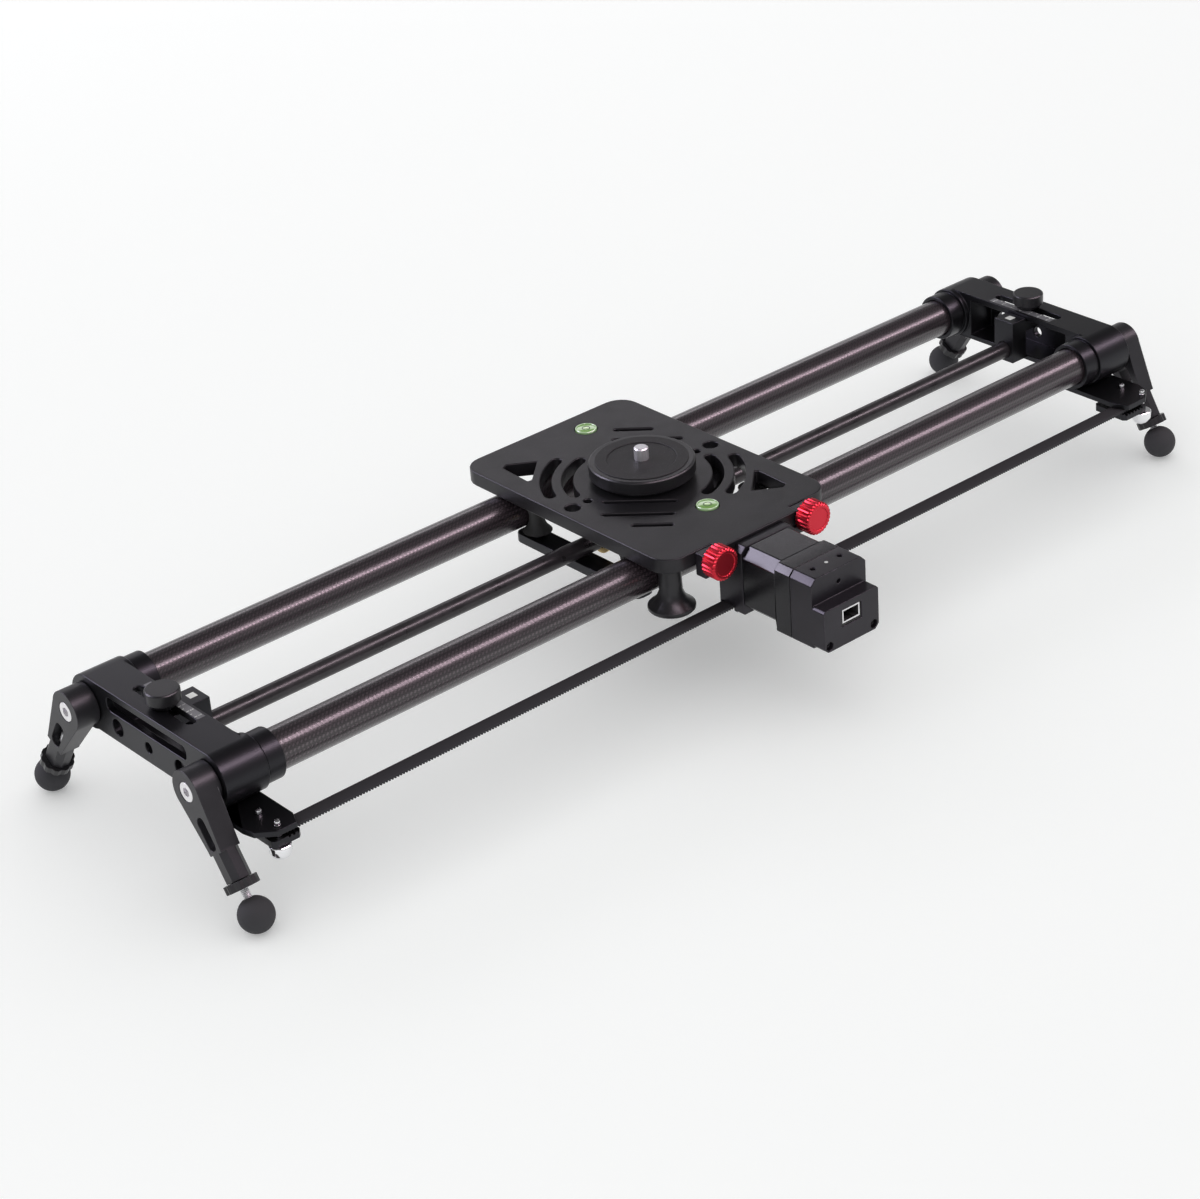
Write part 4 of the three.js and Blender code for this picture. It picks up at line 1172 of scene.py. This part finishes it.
@dataclass
class Leg:
    """Foot and threaded screw of one leg."""

    name: str
    joints: Sequence[Dict]
    ball: float = 10.6 * MM
    pitch: float = 1.0 * MM
    crest: float = 2.5 * MM
    root: float = 2.12 * MM
    thread_start: float = 1.2 * MM
    thread_end: float = 45.5 * MM
    tip: float = 46.6 * MM
    seat: float = 3.6 * MM
    sides: int = 56

    def axis(self) -> Vector:
        """Gives the leg's downward direction, from the frame's own foot joint."""
        joint = next(j for j in self.joints if j["name"] == "foot_height_" + self.name)
        return Vector(joint["axis"]).normalized()

    def foot(self) -> None:
        """Models the rubber ball with the seat its screw goes into."""
        centre = middle("ball_foot_" + self.name)
        turn = self.axis().to_track_quat("-Z", "Y").to_matrix().to_4x4()
        rings: List[Ring] = []
        steps = 30
        for step in range(steps):
            angle = -math.pi / 2 + math.pi * step / steps
            rings.append((max(self.ball * math.cos(angle), 0.02 * MM), self.ball * math.sin(angle)))
        rings = [ring for ring in rings if not (ring[1] > 0 and ring[0] < self.seat)]
        rings.append((3.5 * MM, self.ball - 0.55 * MM))
        rings += [(2.8 * MM, self.ball - 0.75 * MM), (2.7 * MM, self.ball - 3 * MM)]
        where = Matrix.Translation(centre) @ turn
        obj = Bench.smooth(Bench.turned("rubber_ball_" + self.name, rings, where, self.sides), 40)
        fit_out(obj, "foot_" + self.name, BALL, ["ball_foot_" + self.name])

    def screw(self) -> None:
        """Models the foot's screw with its thread cut ring by ring."""
        centre = middle("ball_foot_" + self.name)
        turn = self.axis().to_track_quat("-Z", "Y").to_matrix().to_4x4()
        height = self.thread_start
        rings: List[Ring] = [(2.1 * MM, height)]
        while height < self.thread_end:
            rings.append((self.crest, height + 0.35 * self.pitch))
            rings.append((self.crest, height + 0.5 * self.pitch))
            rings.append((self.root, height + 0.95 * self.pitch))
            height += self.pitch
        rings.append((1.6 * MM, self.tip))
        where = Matrix.Translation(centre) @ turn
        obj = Bench.smooth(Bench.turned("threaded_screw_" + self.name, rings, where, 28), 50)
        fit_out(obj, "foot_" + self.name, STEEL, ["foot_screw_" + self.name])

    def build(self) -> None:
        """Models the foot and its screw."""
        self.foot()
        self.screw()


@dataclass
class BeltPlateStuds:
    """The bright stud tops in one belt plate: the nut's own and the one behind it."""

    end: End
    radius: float = 1.8 * MM
    rise: float = 1.1 * MM
    gap: float = 17.5 * MM

    def build(self) -> None:
        """Models both studs with rounded tops."""
        low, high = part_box("belt_nut_" + self.end.word)
        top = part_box("belt_plate_" + self.end.word)[1].z
        x, y = (low.x + high.x) / 2, (low.y + high.y) / 2
        studs: List[bpy.types.Object] = []
        for offset in (0.0, self.gap):
            base = 0.8 * MM if offset == 0.0 else -2.5 * MM
            rings = [(self.radius, base), (self.radius, 0.4 * self.rise + max(base, 0.0))]
            rings += [(0.9 * self.radius, rings[1][1] + 0.3 * self.rise)]
            rings += [(0.55 * self.radius, rings[1][1] + 0.6 * self.rise)]
            studs.append(Bench.turned("stud", rings, place((x, y + offset, top)), 20))
        both = Bench.smooth(Bench.joined("plate_studs_" + self.end.word, studs))
        fit_out(both, "frame", CHROME)


@dataclass
class BeltRun:
    """The straight toothed belt between its clamps."""

    pitch: float = 2.0 * MM
    tooth: float = 0.9 * MM
    back: float = 1.5 * MM

    def build(self) -> None:
        """Models the belt's back and its row of teeth."""
        low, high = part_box("drive_belt")
        back = Bench.block(
            "belt_back", (low.x, low.y, high.z - self.back), (high.x, high.y, high.z), 0.15 * MM
        )
        half = self.pitch * 0.27
        first = low.x + self.pitch
        tooth = Bench.block(
            "belt_tooth",
            (first - half, low.y + 0.1 * MM, high.z - self.back - self.tooth),
            (first + half, high.y - 0.1 * MM, high.z - self.back + 0.1 * MM),
            0.2 * MM,
        )
        count = int((high.x - low.x) / self.pitch) - 1
        Bench.repeated(tooth, count, (self.pitch, 0, 0))
        belt = Bench.smooth(Bench.joined("toothed_belt", [back, tooth]))
        fit_out(belt, "frame", BELT, ["drive_belt"])


@dataclass
class BubbleLevel:
    """A round level: rim, liquid, target ring and bubble."""

    node: str
    rim: float = 0.9 * MM
    crown: float = 0.3 * MM
    target: float = 2.7 * MM
    bubble: float = 1.75 * MM

    def build(self) -> None:
        """Models the level in its pocket."""
        low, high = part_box(self.node)
        radius = (high.x - low.x) / 2
        centre = middle(self.node)
        base, top = low.z - centre.z, high.z - centre.z
        inner = radius - self.rim
        where = place(centre)
        shell = [
            (radius, base),
            (radius, top - 0.35 * MM),
            (radius - 0.3 * MM, top),
            (inner + 0.15 * MM, top),
            (inner, top - 0.2 * MM),
            (inner, top - 1.0 * MM),
        ]
        body = Bench.smooth(Bench.turned(self.node + "_rim", shell, where, 56))
        fit_out(body, "carriage", LIQUID_RIM, [self.node])
        dome = [(inner - 0.02 * MM, top - 0.98 * MM), (inner - 0.02 * MM, top - 0.5 * MM)]
        for share in (0.9, 0.7, 0.45, 0.2):
            dome.append((inner * share, top - 0.5 * MM + self.crown * (1 - share**2)))
        lens = Bench.smooth(Bench.turned(self.node + "_lens", dome, where, 48))
        fit_out(lens, "carriage", LIQUID)
        target = self.target
        height = top - 0.24 * MM
        loop = [
            (target, height),
            (target, height + 0.03 * MM),
            (target - 0.22 * MM, height + 0.05 * MM),
            (target - 0.3 * MM, height - 0.02 * MM),
        ]
        ring = Bench.smooth(Bench.turned(self.node + "_target", loop, where, 40))
        fit_out(ring, "carriage", DARK_RING)
        steps = (0.96, 0.8, 0.55, 0.25)
        blob = [(self.bubble, height + 0.02 * MM)]
        for share in steps:
            rise = 0.1 * MM * (1 - share**2)
            blob.append((self.bubble * share, height + 0.02 * MM + rise))
        shift = Matrix.Translation(Vector((0.3 * MM, 0.2 * MM, 0)))
        bubble = Bench.smooth(Bench.turned(self.node + "_bubble", blob, where @ shift, 32))
        fit_out(bubble, "carriage", BUBBLE)


@dataclass
class ThumbScrew:
    """One red knob with its black neck, ahead of the carriage's front edge."""

    end: End
    flutes: int = 26
    flute_depth: float = 0.75 * MM
    head_length: float = 9.9 * MM

    def build(self) -> None:
        """Models the fluted head and the neck behind it."""
        node = "thumb_screw_" + self.end.word
        low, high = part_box(node)
        radius = (high.x - low.x) / 2
        centre = middle(node)
        z = (low.z + high.z) / 2
        length = self.head_length
        front = low.y
        where = place((centre.x, front + length, z), Along.FRONT)
        name = "red_knob_" + self.end.word
        head = Bench.fluted(name, radius, self.flute_depth, length, self.flutes, where)
        Bench.smooth(head, 38)
        fit_out(head, node, RED, [node])
        back = -(high.y - front - length)
        rings = [
            (3.0 * MM, back),
            (3.2 * MM, back + 0.5 * MM),
            (3.2 * MM, -5.4 * MM),
            (4.1 * MM, -5.1 * MM),
            (4.1 * MM, -0.5 * MM),
            (3.9 * MM, 0.3 * MM),
        ]
        neck = Bench.smooth(Bench.turned("knob_neck_" + self.end.word, rings, where, 32))
        fit_out(neck, node, SATIN_BLACK)


@dataclass
class DriveUnit:
    """Screws, socket frame and contacts of the motor housing."""

    body: str = "carriage"
    mouth_half_width: float = 6.1 * MM
    mouth_half_height: float = 3.45 * MM
    mouth_rise: float = 0.8 * MM
    rim: float = 0.95 * MM
    corner_spread: float = 18.2 * MM
    top_spread: float = 11 * MM
    pin_count: int = 8
    pin_pitch: float = 1.15 * MM
    pin_half: float = 0.24 * MM

    def cap_screw(self, name: str, radius: float, height: float, where: Matrix) -> None:
        """Models a socket cap screw.

        Args:
            name: its name.
            radius: the head's radius.
            height: the head's height.
            where: the placing matrix, the head's top being on +Z.
        """
        rings = [
            (radius, 0.0),
            (radius, height - 0.25 * MM),
            (radius - 0.25 * MM, height),
            (radius * 0.56, height),
            (radius * 0.5, height - 0.15 * MM),
            (radius * 0.5, height * 0.35),
        ]
        obj = Bench.smooth(Bench.turned(name, rings, where, 30))
        fit_out(obj, self.body, SATIN_BLACK)

    def corner_screws(self) -> None:
        """Sets the two screws sunk in the lower corners of the end cover."""
        low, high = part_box("end_cover")
        x0 = (low.x + high.x) / 2
        for end in End:
            at = (x0 + end.value * self.corner_spread, low.y + 3.9 * MM, low.z + 4.0 * MM)
            self.cap_screw("cover_screw_" + end.word, 2.2 * MM, 1.6 * MM, place(at, Along.FRONT))

    def top_screws(self) -> None:
        """Sets the two screws in the top of the end cover and the mark between them."""
        low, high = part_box("end_cover")
        x0, y = (low.x + high.x) / 2, high.y - 8 * MM
        for end in End:
            at = (x0 + end.value * self.top_spread, y, high.z - 2.9 * MM)
            self.cap_screw("top_screw_" + end.word, 1.45 * MM, 1.5 * MM, place(at))
        rings = [(1.15 * MM, 0.0), (1.15 * MM, 0.06 * MM), (0.8 * MM, 0.1 * MM), (0.7 * MM, 0.03 * MM)]
        mark = Bench.smooth(Bench.turned("cover_mark", rings, place((x0, y, high.z + 0.005 * MM)), 28))
        fit_out(mark, self.body, PRINT)

    def contacts(self) -> None:
        """Lays the gold contacts inside the socket."""
        low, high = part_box("data_jack")
        x0 = (low.x + high.x) / 2
        pins: List[bpy.types.Object] = []
        for index in range(self.pin_count):
            x = x0 + (index - (self.pin_count - 1) / 2) * self.pin_pitch
            pins.append(
                Bench.block(
                    "pin",
                    (x - self.pin_half, low.y + 1.2 * MM, high.z - 1.75 * MM),
                    (x + self.pin_half, low.y + 8.5 * MM, high.z - 1.15 * MM),
                    0.08 * MM,
                )
            )
        fit_out(Bench.joined("socket_contacts", pins), self.body, GOLD)

    def socket_frame(self) -> None:
        """Lays the bright metal frame round the socket's mouth."""
        low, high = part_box("data_jack")
        x0, z0 = (low.x + high.x) / 2, (low.z + high.z) / 2 + self.mouth_rise
        wide, tall, rim = self.mouth_half_width, self.mouth_half_height, self.rim
        near, far = low.y - 0.03 * MM, low.y + 0.25 * MM
        spans = (
            (-wide - rim, -wide, -tall - rim, tall + rim),
            (wide, wide + rim, -tall - rim, tall + rim),
            (-wide, wide, tall, tall + rim),
            (-wide, wide, -tall - rim, -tall),
        )
        bars = [
            Bench.block("bar", (x0 + a, near, z0 + c), (x0 + b, far, z0 + d), 0.05 * MM)
            for a, b, c, d in spans
        ]
        fit_out(Bench.joined("socket_frame", bars), self.body, RING_STEEL)

    def build(self) -> None:
        """Models the housing's small parts."""
        self.corner_screws()
        self.top_screws()
        self.contacts()
        self.socket_frame()


@dataclass
class Turntable:
    """The pan disc's grip pad."""

    outer_inset: float = 4.2 * MM
    inner_inset: float = 11.8 * MM
    rounding: float = 0.4 * MM
    thickness: float = 0.6 * MM
    sides: int = 96

    def build(self) -> None:
        """Models the rubber pad ring on the disc."""
        low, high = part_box("turntable")
        centre = middle("turntable")
        radius = (high.x - low.x) / 2
        outer, inner = radius - self.outer_inset, radius - self.inner_inset
        rings = [
            (outer, -0.02 * MM),
            (outer, 0.35 * MM),
            (outer - self.rounding, self.thickness),
            (inner + self.rounding, self.thickness),
            (inner, 0.35 * MM),
            (inner, 0.02 * MM),
        ]
        where = place((centre.x, centre.y, high.z))
        pad = Bench.turned("turntable_pad", rings, where, self.sides)
        fit_out(Bench.smooth(pad), "turntable", RUBBER)


# ---------------------------------------------------------------------------------------------
# Studio
# ---------------------------------------------------------------------------------------------


@dataclass
class Studio:
    """Floor, soft lights and camera."""

    eye: Vector = field(default_factory=lambda: Vector((-1.08079, -1.25934, 0.95093)))
    right: Vector = field(default_factory=lambda: Vector((0.75331, -0.65428, -0.06660)))
    up: Vector = field(default_factory=lambda: Vector((0.36400, 0.33046, 0.87080)))
    lens: float = 91.42
    sensor: float = 36.0
    floor_size: float = 16.0
    fill: float = 0.80
    horizon: float = 0.50
    overhead: float = 0.10

    def camera(self) -> None:
        """Sets the camera at its viewing angle."""
        data = bpy.data.cameras.new("camera")
        data.lens = self.lens
        data.sensor_width = self.sensor
        data.sensor_fit = "HORIZONTAL"
        data.clip_start, data.clip_end = 0.05, 60.0
        obj = bpy.data.objects.new("camera", data)
        bpy.context.scene.collection.objects.link(obj)
        back = self.right.cross(self.up).normalized()
        up = back.cross(self.right).normalized()
        turn = Matrix((self.right.normalized(), up, back)).transposed().to_4x4()
        obj.matrix_world = Matrix.Translation(self.eye) @ turn
        bpy.context.scene.camera = obj

    def floor(self) -> None:
        """Lays the paper floor."""
        Bench.clear()
        bpy.ops.mesh.primitive_grid_add(x_subdivisions=8, y_subdivisions=8, size=self.floor_size)
        obj = Bench.settle(bpy.context.object, "studio_floor", Matrix.Translation((0, 0, -0.02 * MM)))
        obj.data.materials.append(PAPER.material())

    def light(
        self,
        name: str,
        where: Vector,
        size: Tuple[float, float],
        power: float,
        tint: Colour,
        aim: Vector = Vector((0, 0, 0.05)),
        sheen_only: bool = False,
    ) -> None:
        """Hangs a soft rectangular light.

        Args:
            name: the light's name.
            where: its place.
            size: its width and height.
            power: its power in watts.
            tint: its colour.
            aim: the point it faces.
            sheen_only: whether it shows only in glossy surfaces.
        """
        data = bpy.data.lights.new(name, "AREA")
        data.shape = "RECTANGLE"
        data.size, data.size_y = size
        data.energy = power
        data.color = tint
        obj = bpy.data.objects.new(name, data)
        obj.matrix_world = (
            Matrix.Translation(where) @ (aim - where).to_track_quat("-Z", "Y").to_matrix().to_4x4()
        )
        obj.visible_diffuse = not sheen_only
        bpy.context.scene.collection.objects.link(obj)

    def sky(self) -> None:
        """Fills the room with soft light that is brighter overhead."""
        world = bpy.data.worlds.new("studio_room")
        bpy.context.scene.world = world
        world.use_nodes = True
        world.node_tree.nodes.clear()
        sheet = Sheet(world.node_tree)
        where = sheet.add("TexCoord").outputs["Generated"]
        height = sheet.add("SeparateXYZ", {0: where}).outputs[2]
        colour = sheet.blend(sheet.ramp(height, -0.1, 0.9), (0.90, 0.90, 0.91), (1.0, 1.0, 1.0))
        path = sheet.add("LightPath")
        climb = sheet.ramp(height, 0.15, 0.65)
        mirrored = sheet.scaled(climb, self.overhead - self.horizon, self.horizon)
        change = sheet.math("SUBTRACT", mirrored, self.fill)
        strength = sheet.scaled(path.outputs["Is Glossy Ray"], change, self.fill)
        shade = sheet.add("Background", {"Color": colour, "Strength": strength})
        out = sheet.add("OutputWorld")
        world.node_tree.links.new(shade.outputs[0], out.inputs[0])

    def build(self) -> None:
        """Sets the whole studio."""
        self.camera()
        self.floor()
        self.sky()
        pink, lavender = (1.0, 0.80, 0.90), (0.86, 0.80, 1.0)
        over_rail, beside_rail = Vector((1.2, -1.15, 1.7)), Vector((1.2, 0, 0.05))
        self.light("rail_strip", over_rail, (3.8, 0.42), 56.0, pink, beside_rail, sheen_only=True)
        behind = Vector((-1.2, 1.5, 1.3))
        self.light("chamfer_box", behind, (1.2, 0.9), 42.0, lavender, sheen_only=True)
        self.light("back", Vector((0.7, 2.6, 1.4)), (3.4, 0.5), 10.0, (0.98, 0.94, 1.0))
        self.light("front", Vector((-2.2, -1.4, 1.1)), (1.0, 1.0), 4.0, (0.96, 0.94, 1.0))
        scene = bpy.context.scene
        scene.view_settings.view_transform = "Standard"
        scene.view_settings.look = "None"


def build_slider(frame: Dict) -> None:
    """Builds every class of the slider in order.
    """
    Rails().build()
    for end in End:
        BracketDress(end).build()
        BeltPlateStuds(end).build()
    for name in ("front_left", "front_right", "back_left", "back_right"):
        Leg(name, frame["record"]["behaviour"]["joints"]).build()
    BeltRun().build()
    BubbleLevel("level_front").build()
    BubbleLevel("level_back").build()
    for end in End:
        ThumbScrew(end).build()
    DriveUnit().build()
    Turntable().build()
    FrameParts(frame["record"], frame["nodes"]).dress()


def main() -> None:
    """Loads the frame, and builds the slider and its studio."""
    logging.basicConfig(level=logging.INFO, format="%(name)s: %(message)s")
    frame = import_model()
    Studio().build()
    build_slider(frame)


if __name__ == "__main__":
    main()
